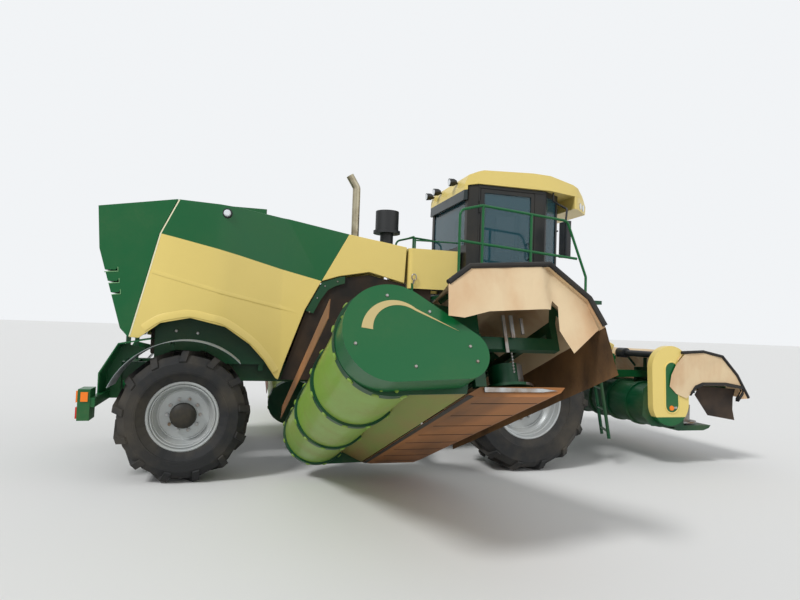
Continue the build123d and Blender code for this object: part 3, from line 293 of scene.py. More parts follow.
M = {
    "cream_stripe": paint("hood_side_paint", CREAM, 0.32, 0.12, 0.12, recolour=striped),
    "cream": paint("cream_paint", CREAM, 0.34, 0.12, 0.12),
    "roof": paint("roof_paint", CREAM, 0.34, 0.12, 0.12, recolour=thin_eave),
    "guard": paint("guard_paint", CREAM, 0.34, 0.12, 0.12, recolour=guard_halves),
    "green": paint("green_paint", GREEN, 0.32, 0.2),
    "dark_green": paint("dark_green_paint", DARK_GREEN, 0.4, 0.25),
    "light_green": paint("light_green_sheet", LIGHT_GREEN, 0.42, 0.75, 0.2, low=0.1, high=2.4),
    "silver": paint("silver_paint", linear(178, 182, 182), 0.38, 0.3, 0.3, metal=0.35),
    "fender": paint("fender_coat", linear(150, 158, 160), 0.45, 0.35, 0.1, metal=0.3),
    "black": paint("black_paint", linear(24, 26, 26), 0.45, 0.25, 0.1),
    # Recess lining in near-black with dark brown patches: the lining's own colour is dark, and its near-black
    # tone is painted shade of the recess
    "recess": weathered("recess_lining_and_shade", linear(24, 20, 16), linear(58, 42, 27), 2.5, 0.9),
    "engine": weathered("engine_iron", linear(40, 40, 40), linear(70, 62, 52), 4.0, 0.6, 0.4),
    "worn": weathered("worn_steel", linear(166, 110, 62), linear(110, 74, 42), 2.2, 0.62, 0.1,
                      (1.0, 0.35, 0.35)),
    "floor_sheet": weathered("olive_sheet", linear(122, 138, 66), linear(152, 116, 76), 1.6, 0.65, 0.0,
                             (1.0, 0.4, 0.4)),
    "bright_steel": weathered("bright_steel", linear(170, 172, 172), linear(120, 100, 80), 8.0, 0.38, 0.8),
    "chrome": plain("rod_chrome", linear(215, 215, 215), 0.12, 1.0),
    "pipe": weathered("pipe_steel", linear(172, 164, 140), linear(120, 104, 80), 6.0, 0.35, 0.85),
    "tyre": rubber("tyre_rubber", (24, 25, 26), 0.25),
    "hose": rubber("hose_rubber", (16, 16, 17), 0.15),
    "glass": tinted_glass(),
    "plastic": plain("dark_plastic", linear(26, 28, 30), 0.5),
    "seat": plain("seat_cloth", linear(46, 48, 52), 0.85),
    "amber": plain("amber_lens", linear(235, 120, 20), 0.2, glow=0.15),
    "red": plain("red_lens", linear(200, 40, 20), 0.2, glow=0.1),
    "lens": plain("clear_lens", linear(225, 230, 235), 0.08),
    # Light green lines on the louvres' edges: painted highlight where the edges catch the light
    "louvre": plain("louvre_painted_highlight", linear(120, 170, 120), 0.35),
    # Near-white strip along the seam between the hood's tail and side: painted highlight of the seam's edge
    "seam": plain("seam_painted_highlight", linear(240, 236, 200), 0.35),
    "cream_dull": plain("stripe_cream", linear(196, 176, 120), 0.5),
    "curtain_rubber": weathered("flap_rubber", linear(26, 20, 17), linear(62, 48, 36), 3.0, 0.85),
    "mirror": plain("mirror_glass", linear(200, 210, 220), 0.03, 1.0),
    "canvas": canvas_cloth("canvas_cloth", linear(222, 198, 160), linear(186, 124, 72), 0.5),
    "curtain": canvas_cloth("curtain_cloth", linear(122, 88, 52), linear(40, 28, 18), 0.85),
}

NODE_LOOKS = {
    "main_frame": "dark_green", "engine": "engine", "hood_sides": "cream_stripe", "hood_top": "green",
    "hood_tail": "green", "liners": "recess", "side_tanks": "cream", "exhaust": "pipe",
    "air_cleaner": "plastic", "front_axle": "dark_green", "rear_axle": "dark_green", "cab_shell": "black",
    "cab_glass": "glass", "cab_roof": "roof", "cab_interior": "seat", "platform": "dark_green",
    "railings": "green", "mirrors": "plastic", "rear_bumper": "green", "lamps": "lens", "door": "black",
    "door_glass": "glass", "front_lift": "green", "front_mower_frame": "dark_green",
    "front_mower_hood": "dark_green", "front_cutterbar": "dark_green", "belt_guard": "guard",
    "drive_shaft": "plastic", "front_canvas": "canvas", "front_drum": "bright_steel",
    "knuckle": "dark_green", "fender": "fender", "front_tyre": "tyre", "rear_tyre": "tyre",
    "front_rim": "silver", "rear_rim": "silver", "mower_hood": "light_green", "mower_frame": "dark_green",
    "mower_cutterbar": "worn", "mower_end_cover": "green", "mower_canvas": "canvas",
    "mower_drum": "bright_steel", "lift_barrel": "dark_green", "lift_rod": "chrome",
}
# Width and steps of the rounded edges
BEVELS = {
    "cab_roof": (0.05, 4), "hood_tail": (0.03, 3), "hood_sides": (0.012, 2), "hood_top": (0.02, 2),
    "side_tanks": (0.035, 3), "belt_guard": (0.045, 4), "mower_end_cover": (0.065, 5),
    "cab_shell": (0.006, 1), "platform": (0.004, 1), "main_frame": (0.006, 1), "rear_bumper": (0.006, 1),
    "front_lift": (0.008, 2), "engine": (0.02, 2), "cab_interior": (0.05, 3), "fender": (0.004, 1),
    "air_cleaner": (0.012, 2), "mirrors": (0.012, 2),
}


def round_edges(obj, width, steps):
    """Rounded edges on a CAD node, with its seams joined so that its broad faces shade smoothly."""
    weld = obj.modifiers.new("weld", "WELD")
    weld.merge_threshold = 0.00005
    bevel = obj.modifiers.new("edge", "BEVEL")
    bevel.width, bevel.segments, bevel.limit_method = width, steps, "ANGLE"
    bevel.angle_limit = math.radians(28)
    normals = obj.modifiers.new("normals", "WEIGHTED_NORMAL")
    normals.keep_sharp = False
    obj.data.shade_smooth()


def base_name(node):
    """A node's name without its side."""
    for ending in ("_left", "_right"):
        if node.endswith(ending):
            return node[:-len(ending)]
    return node


for node, obj in NODES.items():
    obj.data.materials.clear()
    obj.data.materials.append(M[NODE_LOOKS[base_name(node)]])
    if base_name(node) in BEVELS:
        round_edges(obj, *BEVELS[base_name(node)])


def paint_faces(node, looks, choose):
    """More materials on one CAD node, chosen for each face by its middle and its normal."""
    obj = NODES[node]
    first = len(obj.data.materials)
    for look in looks:
        obj.data.materials.append(M[look])
    for face in obj.data.polygons:
        picked = choose(face.center, face.normal)
        if picked is not None:
            face.material_index = first + picked


FLOOR_SHEET_X = -1.44
for name, side in SIDES:
    def rib_or_floor(point, normal, side=side):
        """The ribs' dark paint or the bare floor sheet, by the distance from the roll's axis."""
        w = -(side * point.y - PIVOT_Y) * math.sin(TILT) + (point.z - PIVOT_Z) * math.cos(TILT)
        on_rib = math.hypot(point.x - ROLL_X, w - ROLL_W) > ROLL_R - RIB_H + 0.003
        return 1 if point.x > FLOOR_SHEET_X else (0 if on_rib else None)

    paint_faces("mower_hood_" + name, ["dark_green", "floor_sheet"], rib_or_floor)
    paint_faces("mower_drum_" + name, ["dark_green"], lambda c, n: 0 if n.x < 0.3 else None)
paint_faces("side_tanks", ["black"], lambda c, n: 0 if abs(n.z) > 0.9 else None)
paint_faces("lamps", ["red", "amber"],
            lambda c, n: None if c.x > 0 else (0 if c.z < 0.82 else 1))
paint_faces("liners", ["dark_green"], lambda c, n: 0 if c.x < -2.2 else None)
paint_faces("front_lift", ["cream", "silver"],
            lambda c, n: None if abs(c.y) > 0.43 or c.z < 1.42 else int(abs(n.y) > 0.8))


# Shapes
class Shape:
    """Collects simple solids into one mesh."""

    def __init__(self):
        self.points, self.faces = [], []

    def add(self, points, faces):
        """More points, and faces that count from the first of them."""
        start = len(self.points)
        self.points += [Vector(p) for p in points]
        self.faces += [[start + i for i in face] for face in faces]

    def box(self, low, high):
        """A block between two corners."""
        (x0, y0, z0), (x1, y1, z1) = low, high
        y0, y1 = min(y0, y1), max(y0, y1)
        corners = [(x, y, z) for x in (x0, x1) for y in (y0, y1) for z in (z0, z1)]
        self.add(corners, [(0, 1, 3, 2), (4, 6, 7, 5), (0, 4, 5, 1), (2, 3, 7, 6), (0, 2, 6, 4),
                           (1, 5, 7, 3)])

    def loft(self, rings):
        """Rings of equal length joined in order, with flat ends."""
        count = len(rings[0])
        points = [p for ring in rings for p in ring]
        faces = []
        for i in range(len(rings) - 1):
            for j in range(count):
                k = (j + 1) % count
                faces.append((i * count + j, i * count + k, (i + 1) * count + k, (i + 1) * count + j))
        faces.append(tuple(range(count))[::-1])
        faces.append(tuple(range((len(rings) - 1) * count, len(rings) * count)))
        self.add(points, faces)

    def turned(self, start, end, profile, sides=16):
        """A turned piece: profile is (share along the axis, radius)."""
        start, end = Vector(start), Vector(end)
        along = (end - start).normalized()
        across = along.orthogonal().normalized()
        other = along.cross(across)
        rings = []
        for share, radius in profile:
            middle = start.lerp(end, share)
            rings.append([middle + radius * (across * math.cos(a) + other * math.sin(a))
                          for a in [2 * math.pi * i / sides for i in range(sides)]])
        self.loft(rings)

    def bar(self, start, end, radius, sides=12):
        """A straight round bar."""
        self.turned(start, end, [(0, radius), (1, radius)], sides)

    def tube(self, path, radius, sides=8):
        """A bent tube along a path of points."""
        path = [Vector(p) for p in path]
        across = (path[1] - path[0]).orthogonal().normalized()
        rings = []
        for i, point in enumerate(path):
            along = (path[min(i + 1, len(path) - 1)] - path[max(i - 1, 0)]).normalized()
            across = (across - along * across.dot(along)).normalized()
            other = along.cross(across)
            rings.append([point + radius * (across * math.cos(a) + other * math.sin(a))
                          for a in [2 * math.pi * j / sides for j in range(sides)]])
        self.loft(rings)

    def plate(self, outline, normal, thick):
        """A flat plate: an outline of points in order, and its thickness along a direction."""
        lift = Vector(normal).normalized() * thick
        low = [Vector(p) for p in outline]
        self.loft([low, [p + lift for p in low]])

    def done(self, name, body, look, smooth=False, bevel=0.0):
        """The finished piece, which rides on its body."""
        mesh = bpy.data.meshes.new(name)
        mesh.from_pydata(self.points, [], self.faces)
        mesh.update()
        made = bpy.data.objects.new(name, mesh)
        bpy.context.scene.collection.objects.link(made)
        made.data.materials.append(M[look])
        if smooth:
            mesh.shade_smooth()
            edge = made.modifiers.new("split", "EDGE_SPLIT")
            edge.split_angle = math.radians(35)
        if bevel:
            rounding = made.modifiers.new("edge", "BEVEL")
            rounding.width, rounding.segments, rounding.limit_method = bevel, 2, "ANGLE"
        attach(made, body)
        return made


def curve_points(corners, steps=8):
    """A smooth line through the corners."""
    corners = [Vector(c) for c in corners]
    padded = [corners[0] * 2 - corners[1]] + corners + [corners[-1] * 2 - corners[-2]]
    line = []
    for a, b, c, d in zip(padded, padded[1:], padded[2:], padded[3:]):
        for i in range(steps):
            t = i / steps
            line.append(0.5 * (2 * b + (c - a) * t + (2 * a - 5 * b + 4 * c - d) * t * t
                               + (3 * b - a - 3 * c + d) * t ** 3))
    return line + [corners[-1]]


def circle(x, y, z, radius):
    """A closed round line, square to Y."""
    angles = [2 * math.pi * k / 64 for k in range(65)]
    return [(x + radius * math.cos(a), y, z + radius * math.sin(a)) for a in angles]


# Cloth of the canvas guards
def grid(rows):
    """Points and faces of a sheet from rows of points."""
    count = len(rows[0])
    faces = [(i * count + j, (i + 1) * count + j, (i + 1) * count + j + 1, i * count + j + 1)
             for i in range(len(rows) - 1) for j in range(count - 1)]
    return [point for row in rows for point in row], faces


SHEET_STEP, BAND_STEP, EDGE_STEP, SHEET_COLUMNS = 0.035, 0.05, 0.06, 64
EDGE_R = 0.02
FOLD_X, FOLD_LENGTH, FOLD_DEPTH = -0.68, 0.10, 0.05


def cloth(name, body, net, look, waves=0.006, stands_for=()):
    """A sheet from its points and faces, with slight waves across it."""
    mesh = bpy.data.meshes.new(name)
    mesh.from_pydata(net[0], [], net[1])
    mesh.update()
    moved = []
    for vertex in mesh.vertices:
        shift = noise.noise(vertex.co * 3.1) * waves + noise.noise(vertex.co * 9.0) * waves * 0.4
        moved.append(vertex.co + vertex.normal * shift)
    for vertex, place in zip(mesh.vertices, moved):
        vertex.co = place
    mesh.shade_smooth()
    made = bpy.data.objects.new(name, mesh)
    bpy.context.scene.collection.objects.link(made)
    made.data.materials.append(M[look])
    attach(made, body)
    if stands_for:
        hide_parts(*stands_for)
    return made


def resampled(line, step):
    """Points along a line of corners at about one spacing, corners kept."""
    out = []
    for (x0, z0), (x1, z1) in zip(line, line[1:]):
        count = max(1, round(math.hypot(x1 - x0, z1 - z0) / step))
        out += [(x0 + (x1 - x0) * i / count, z0 + (z1 - z0) * i / count) for i in range(count)]
    return out + [line[-1]]


def inside(point, outline):
    """Whether a flat outline holds a point."""
    x, z = point
    odd = False
    for (x0, z0), (x1, z1) in zip(outline, outline[1:] + outline[:1]):
        if (z0 > z) != (z1 > z) and x < (x1 - x0) * (z - z0) / (z1 - z0) + x0:
            odd = not odd
    return odd


def edge_gap(point, outline):
    """Distance from a point to an outline."""
    best = 9.0
    for (x0, z0), (x1, z1) in zip(outline, outline[1:] + outline[:1]):
        long = (x1 - x0) ** 2 + (z1 - z0) ** 2
        t = max(0, min(1, ((point[0] - x0) * (x1 - x0) + (point[1] - z0) * (z1 - z0)) / long))
        best = min(best, math.dist(point, (x0 + (x1 - x0) * t, z0 + (z1 - z0) * t)))
    return best


def flat_net(outline, step, place):
    """Triangles that fill a flat outline, with points inside it at one spacing."""
    rim = resampled(outline + outline[:1], step)[:-1]
    xs, zs = [p[0] for p in outline], [p[1] for p in outline]
    filling = []
    for i in range(int((max(zs) - min(zs)) / step) + 1):
        for j in range(int((max(xs) - min(xs)) / step) + 1):
            point = (min(xs) + (j + 0.5 * (i % 2)) * step, min(zs) + i * step)
            if inside(point, outline) and edge_gap(point, outline) > 0.6 * step:
                filling.append(point)
    net = geometry.delaunay_2d_cdt([Vector(p) for p in rim + filling], [], [list(range(len(rim)))], 1, 1e-5)
    return [place(*point) for point in net[0]], net[2]


def end_place(x):
    """How far out the end cloth hangs: its front part is tied a little further in, past a fold."""
    step = min(max((x - FOLD_X) / FOLD_LENGTH, 0), 1)
    return CANVAS_OUT - FOLD_DEPTH * step * step * (3 - 2 * step)


for name, side in SIDES:
    body = "mower_" + name
    stations = [CANVAS_IN + (CANVAS_OUT - CANVAS_IN) * i / SHEET_COLUMNS for i in range(SHEET_COLUMNS + 1)]
    line = resampled(CANVAS_TOP, BAND_STEP)
    cloth("canvas_top_" + name, body, grid([[raised(x, v, w, side) for x, w in line] for v in stations]),
          "canvas",
          stands_for=[f"mower_canvas_{name}"])
    line = resampled(CURTAIN, BAND_STEP)
    cloth("curtain_" + name, body, grid([[raised(x, v, w, side) for x, w in line] for v in stations]),
          "curtain", waves=0.012)
    end = flat_net(END_CLOTH, SHEET_STEP, lambda x, w, s=side: raised(x, end_place(x), w, s))
    cloth("canvas_end_" + name, body, end, "canvas",
          waves=0.01)
    edge = Shape()
    edge.tube([raised(x, CANVAS_OUT, w + 0.012, side) for x, w in resampled(CANVAS_TOP, EDGE_STEP)],
              EDGE_R, 8)
    edge.done("canvas_edge_" + name, body, "hose", smooth=True)

line = resampled(FRONT_CANVAS, BAND_STEP)
stations = [2 * FRONT_HALF * i / SHEET_COLUMNS - FRONT_HALF for i in range(SHEET_COLUMNS + 1)]
cloth("canvas_front_top", "front_mower", grid([[Vector((x, y, z)) for x, z in line] for y in stations]),
      "canvas", stands_for=["front_canvas"])
for name, side in SIDES:
    end = flat_net(FRONT_END, SHEET_STEP, lambda x, z, s=side: Vector((x, s * FRONT_HALF, z)))
    cloth("canvas_front_" + name, "front_mower", end, "canvas",
          waves=0.01)
    edge = Shape()
    edge.tube([(x - 0.018, side * FRONT_HALF, z + 0.012) for x, z in resampled(FRONT_CANVAS[1:], EDGE_STEP)],
              EDGE_R, 8)
    edge.done("canvas_front_edge_" + name, "front_mower", "hose", smooth=True)

# Bolts on the side mowers' rings and end plates, and the strip along their rear
END_PLATE_V, END_RING_R, BOLT_H = 3.632, 0.35, 0.012
REAR_STRIP = ((-2.115, 0.06), (-2.10, 0.20))
for name, side in SIDES:
    body = "mower_" + name
    bolts = Shape()
    for rib in RIB_V:
        for k in range(9):
            foot, tip = (round_roll(rib + RIB_T / 2, r, 80 + k * 29, side) for r in (ROLL_R, ROLL_R + BOLT_H))
            bolts.turned(foot, tip, [(0, 0.026), (0.7, 0.025), (1, 0.016)], 12)
    for k in range(14):
        foot = round_roll(END_PLATE_V, END_RING_R, 70 + k * 17, side)
        bolts.turned(foot, foot + outward(side) * BOLT_H, [(0, 0.014), (1, 0.012)], 6)
    bolts.done("ring_bolts_" + name, body, "light_green", smooth=True)
    strip = Shape()
    strip.plate(band(REAR_STRIP, side), (-1, 0, 0), 0.006)
    strip.done("rear_strip_" + name, body, "worn")

# Wheels: hub caps and nuts
CAP_H, NUT_H, DISC_DEPTH = 0.06, 0.045, 0.085
for end, x, z, face, hub, nut_circle, count, _, _ in WHEELS:
    for name, side in SIDES:
        body = f"{end}_wheel_{name}"
        cap = Shape()
        cap.turned((x, side * face, z), (x, side * (face + CAP_H), z),
                   [(0, hub + 0.012), (0.55, hub), (0.8, hub * 0.8), (1, hub * 0.55)], 28)
        cap.done(f"hub_cap_{end}_{name}", body, "black", smooth=True)
        nuts = Shape()
        for k in range(count):
            a = 2 * math.pi * k / count
            spot = Vector((x + nut_circle * math.cos(a), side * (face - DISC_DEPTH),
                           z + nut_circle * math.sin(a)))
            nuts.turned(spot, spot + Vector((0, side * NUT_H, 0)),
                        [(0, 0.021), (0.6, 0.02), (0.62, 0.011), (1, 0.011)], 6)
        nuts.done(f"wheel_nuts_{end}_{name}", body, "bright_steel")

# Lamps, mirrors and cab trim
for name, side in SIDES:
    side_lens = Shape()
    side_lens.box((-4.20, side * 1.34, 0.86), (-4.13, side * 1.352, 0.96))
    side_lens.done("side_lens_" + name, "chassis", "amber", bevel=0.003)
    glass = Shape()
    glass.box((1.532, side * 1.105, 2.80), (1.540, side * 1.275, 3.24))
    glass.done("mirror_glass_" + name, "chassis", "mirror")

WORK_LAMPS_Y = (-0.36, 0.31, 0.66)
lamps = Shape()
lenses = Shape()
for y in WORK_LAMPS_Y:
    back, face, front = (0.30, y, 3.86), (0.19, y, 3.85), (0.186, y, 3.85)
    lamps.bar((0.33, y, 3.84), (0.27, y, 3.86), 0.014, 8)
    lamps.turned(back, face, [(0, 0.03), (0.35, 0.052), (1, 0.056)], 16)
    lenses.turned(face, front, [(0, 0.05), (1, 0.045)], 16)
lamps.done("rear_work_lamps", "chassis", "plastic", smooth=True)
lenses.done("rear_work_lenses", "chassis", "lens", smooth=True)

# Seams with a painted highlight, louvre edges with a painted highlight, crease and arch lip of the hood's
# sides, and the flange round the mower's recess
SEAM = [(-3.373, 3.165), (-3.561, 2.756), (-3.70, 2.15), (-3.841, 1.545)]
CREASE = [(-3.63, 2.296), (-3.25, 2.196), (-2.85, 2.093), (-2.30, 1.982), (-1.90, 1.902)]
ARCH = [(-2.19, 1.126), (-2.30, 1.285), (-2.484, 1.482), (-2.783, 1.688), (-2.98, 1.743), (-3.182, 1.780),
        (-3.34, 1.755), (-3.508, 1.709), (-3.66, 1.60)]
FLANGE_OUT = [(-1.30, 2.402), (-1.377, 2.385), (-1.60, 2.31), (-1.70, 2.12), (-1.80, 1.93)]
FLANGE_IN = [(-1.30, 2.31), (-1.42, 2.27), (-1.52, 2.21), (-1.61, 2.08), (-1.70, 1.90)]
FLANGE_Y, FLANGE_T = 0.572, 0.008
LOUVRES = ((-4.15, 2.28, 0.16), (-4.10, 2.15, 0.13), (-4.06, 2.02, 0.11))
SUNK, SEAM_PROUD, PROUD = 0.002, 0.004, 0.006
# Distance from the arch's edge, and height over the hood's side
LIP = ((0.006, -SUNK), (0.014, PROUD), (0.085, PROUD), (0.10, -SUNK))
LINER_BOLTS = ((-3.35, 1.62), (-3.10, 1.60))
HOOD_LAMP_X, HOOD_LAMP_Z = -2.82, 3.06
RAIL_Y = 0.50
RAIL_END = [(-0.42, 2.985), (-0.35, 3.01), (-0.33, 2.97), (-0.33, 2.83)]
RAIL_BAR = [(-0.33, 2.96), (0.0, 2.965), (0.33, 2.965)]
for name, side in SIDES:
    # Near-white strip along each seam: painted highlight
    strip = Shape()
    strip.loft([[(x - 0.002, side * hood_y(x), z), (x - 0.001, side * (hood_y(x) + SEAM_PROUD), z),
                 (x + 0.014, side * (hood_y(x) + SEAM_PROUD), z), (x + 0.016, side * hood_y(x), z)]
                for x, z in SEAM])
    strip.done("hood_seam_highlight_" + name, "chassis", "seam")
    # Light green lines along each louvre's lower and front edge: painted highlight
    edges = Shape()
    for x, z, long in LOUVRES:
        edges.tube([(px, side * (hood_y(px) + 0.001), pz) for px, pz in
                    ((x + 0.01, z - 0.006), (x + long * 0.5, z + 0.002), (x + long - 0.004, z + 0.008),
                     (x + long - 0.008, z + 0.058))], 0.006, 6)
    edges.done("louvre_highlights_" + name, "chassis", "louvre", smooth=True)
    ridge = Shape()
    rings = []
    line = resampled(CREASE, 0.04)
    for i, (x, z) in enumerate(line):
        y = side * hood_y(x)
        proud = side * PROUD * min(1, (len(line) - 1 - i) / 6)
        rings.append([(x, y - side * SUNK, z + 0.05), (x, y + proud, z), (x, y + proud * 0.8, z - 0.01),
                      (x, y - side * SUNK, z - 0.02)])
    ridge.loft(rings)
    ridge.done("hood_crease_" + name, "chassis", "cream", smooth=True)
    lip = Shape()
    rings = []
    line = curve_points([(x, 0, z) for x, z in ARCH], 6)
    for i, point in enumerate(line):
        along = line[min(i + 1, len(line) - 1)] - line[max(i - 1, 0)]
        out = Vector((along.z, 0, -along.x)).normalized()
        ring = []
        for gap, proud in LIP:
            x, z = point.x + out.x * gap, point.z + out.z * gap
            ring.append((x, side * (hood_y(x) + proud), z))
        rings.append(ring)
    lip.loft(rings)
    lip.done("arch_lip_" + name, "chassis", "cream", smooth=True)
    flange = Shape()
    outline = [(x, side * FLANGE_Y, z) for x, z in FLANGE_OUT + FLANGE_IN[::-1]]
    flange.plate(outline, (0, side, 0), FLANGE_T)
    flange.done("recess_flange_" + name, "chassis", "dark_green")
    heads = Shape()
    for (x0, z0), (x1, z1) in zip(FLANGE_OUT[1:], FLANGE_IN[1:]):
        spot = Vector(((x0 + x1) / 2, side * (FLANGE_Y + FLANGE_T), (z0 + z1) / 2))
        heads.turned(spot, spot + Vector((0, side * 0.008, 0)), [(0, 0.011), (1, 0.008)], 10)
    for x, z in LINER_BOLTS:
        heads.turned((x, side * 0.556, z), (x, side * 0.57, z), [(0, 0.02), (1, 0.015)], 12)
    heads.done("recess_bolts_" + name, "chassis", "bright_steel", smooth=True)
    y = hood_y(HOOD_LAMP_X)
    back, face, front = ((HOOD_LAMP_X, side * (y + proud), HOOD_LAMP_Z) for proud in (-0.005, 0.02, 0.035))
    lamp_body = Shape()
    lamp_body.turned(back, face, [(0, 0.062), (1, 0.055)], 20)
    lamp_body.done("hood_lamp_ring_" + name, "chassis", "plastic", smooth=True)
    bulb = Shape()
    bulb.turned(face, front, [(0, 0.042), (1, 0.03)], 20)
    bulb.done("hood_lamp_lens_" + name, "chassis", "lens", smooth=True)
    rail = Shape()
    for line, radius in ((RAIL_END, 0.012), (RAIL_BAR, 0.010)):
        rail.tube([(x, side * RAIL_Y, z) for x, z in line], radius)
    rail.done("tank_handrail_" + name, "chassis", "green", smooth=True)

wiper = Shape()
wiper.tube([(1.945, 0.05, 2.45), (1.955, 0.0, 2.75), (1.955, -0.05, 3.3)], 0.008, 6)
wiper.box((1.945, -0.35, 3.28), (1.96, 0.30, 3.30))
wiper.done("wiper", "chassis", "plastic")
handle = Shape()
handle.tube([(1.20, -0.858, 2.75), (1.20, -0.90, 2.78), (1.20, -0.90, 2.95), (1.20, -0.858, 2.98)], 0.012, 8)
handle.done("door_handle", "door", "plastic", smooth=True)

# Belt guard of the front mower: cream ring, green panel, latch and reflector
GUARD_FACE = -1.5995
# Two half circles: centre X and Z, radius, first angle
OVAL = [(x + r * math.cos(start + math.pi * k / 48), z + r * math.sin(start + math.pi * k / 48))
        for x, z, r, start in ((2.965, 1.32, 0.102, 0), (2.985, 0.852, 0.108, math.pi)) for k in range(49)]
panel = Shape()
panel.plate([(x, GUARD_FACE, z) for x, z in OVAL], (0, -1, 0), 0.004)
panel.done("guard_panel", "front_mower", "green")
rim = Shape()
rim.tube([(x, GUARD_FACE - 0.0005, z) for x, z in OVAL + OVAL[:1]], 0.011, 8)
rim.done("guard_rim", "front_mower", "cream", smooth=True)
latch = Shape()
latch.box((3.01, -1.612, 0.80), (3.06, -1.603, 0.83))
latch.done("guard_latch", "front_mower", "bright_steel", bevel=0.003)
# The reflector is no lamp; the glow of its amber lens material is painted light on it
reflector = Shape()
reflector.turned((2.975, -1.603, 0.81), (2.975, -1.614, 0.81), [(0, 0.034), (1, 0.031)], 20)
reflector.done("front_reflector", "front_mower", "amber", smooth=True)

# Cream cover over the front lift, with its silver sides
LIFT_HOOD = [(2.20, 1.795), (2.70, 1.745), (2.98, 1.61), (2.90, 1.425), (2.78, 1.42), (2.45, 1.50),
             (2.20, 1.50)]
LIFT_SIDE = [(2.25, 1.66), (2.72, 1.64), (2.93, 1.53), (2.89, 1.43), (2.78, 1.43), (2.45, 1.51),
             (2.25, 1.51)]
LIFT_HOOD_HALF = 0.36
cover = Shape()
cover.plate([(x, -LIFT_HOOD_HALF, z) for x, z in LIFT_HOOD], (0, 1, 0), 2 * LIFT_HOOD_HALF)
cover.done("lift_hood", "front_lift", "cream", bevel=0.02)
panels = Shape()
for name, side in SIDES:
    panels.plate([(x, side * (LIFT_HOOD_HALF + 0.001), z) for x, z in LIFT_SIDE], (0, side, 0), 0.004)
panels.done("lift_hood_sides", "front_lift", "silver")

# Ends of the front mower: rubber arch, hanging flap and the bar that carries them
FRONT_ARCH = [(3.26, 1.0), (3.33, 1.09), (3.45, 1.135), (3.84, 1.135), (4.12, 1.09), (4.13, 1.02),
              (4.05, 0.92)]
FRONT_FLAP = [(3.64, 0.70), (4.09, 0.63), (4.055, 0.78), (4.06, 0.94), (4.10, 1.06), (3.50, 1.10),
              (3.42, 0.98)]
ARCH_Y, ARCH_HALF = (1.58, 1.64), 0.022
FLAP_Y, FLAP_T = 1.515, 0.008
for name, side in SIDES:
    arch = Shape()
    (y_in, y_out), half = ARCH_Y, ARCH_HALF
    arch.loft([[(x, side * y_in, z - half), (x, side * y_out, z - half), (x, side * y_out, z + half),
                (x, side * y_in, z + half)] for x, z in FRONT_ARCH])
    arch.done("front_arch_" + name, "front_mower", "hose", smooth=True)
    flap = Shape()
    flap.plate([(x, side * FLAP_Y, z) for x, z in FRONT_FLAP], (0, side, 0), FLAP_T)
    flap.done("front_flap_" + name, "front_mower", "curtain_rubber")
    carrier = Shape()
    carrier.box((3.43, side * 1.44, 1.04), (4.02, side * 1.40, 1.09))
    carrier.done("front_arch_bar_" + name, "front_mower", "green", bevel=0.004)

# Outer end of each side mower: cover trim with a plain curved stripe, bright end bar, skid seams and chain
STRIPE_X, STRIPE_W, STRIPE_R = -1.735, -0.125, 0.225
STRIPE_BROAD, STRIPE_TAPER, STRIPE_TAIL, STRIPE_T = 0.075, 0.06, (-1.30, -0.10), 0.002
COVER_BOLTS = ((-1.78, 0.13), (-2.0, -0.20), (-1.62, -0.34), (-1.24, -0.20), (-1.20, -0.30), (-1.50, 0.03))
END_BAR = ((-1.06, -0.44), (-0.62, -0.44), (-0.50, -0.428), (-0.62, -0.412), (-1.06, -0.405))
END_BAR_V, END_BAR_T = 3.612, 0.012
SKIDS, SKID_IN, SKID_WIDE, SEAM_WIDE, SKID_W, SKID_X = 8, 0.29, 0.415, 0.012, -0.4705, (-1.08, -0.56)
WEAR_STRIP = ((-1.175, -0.455), (-1.135, -0.462))
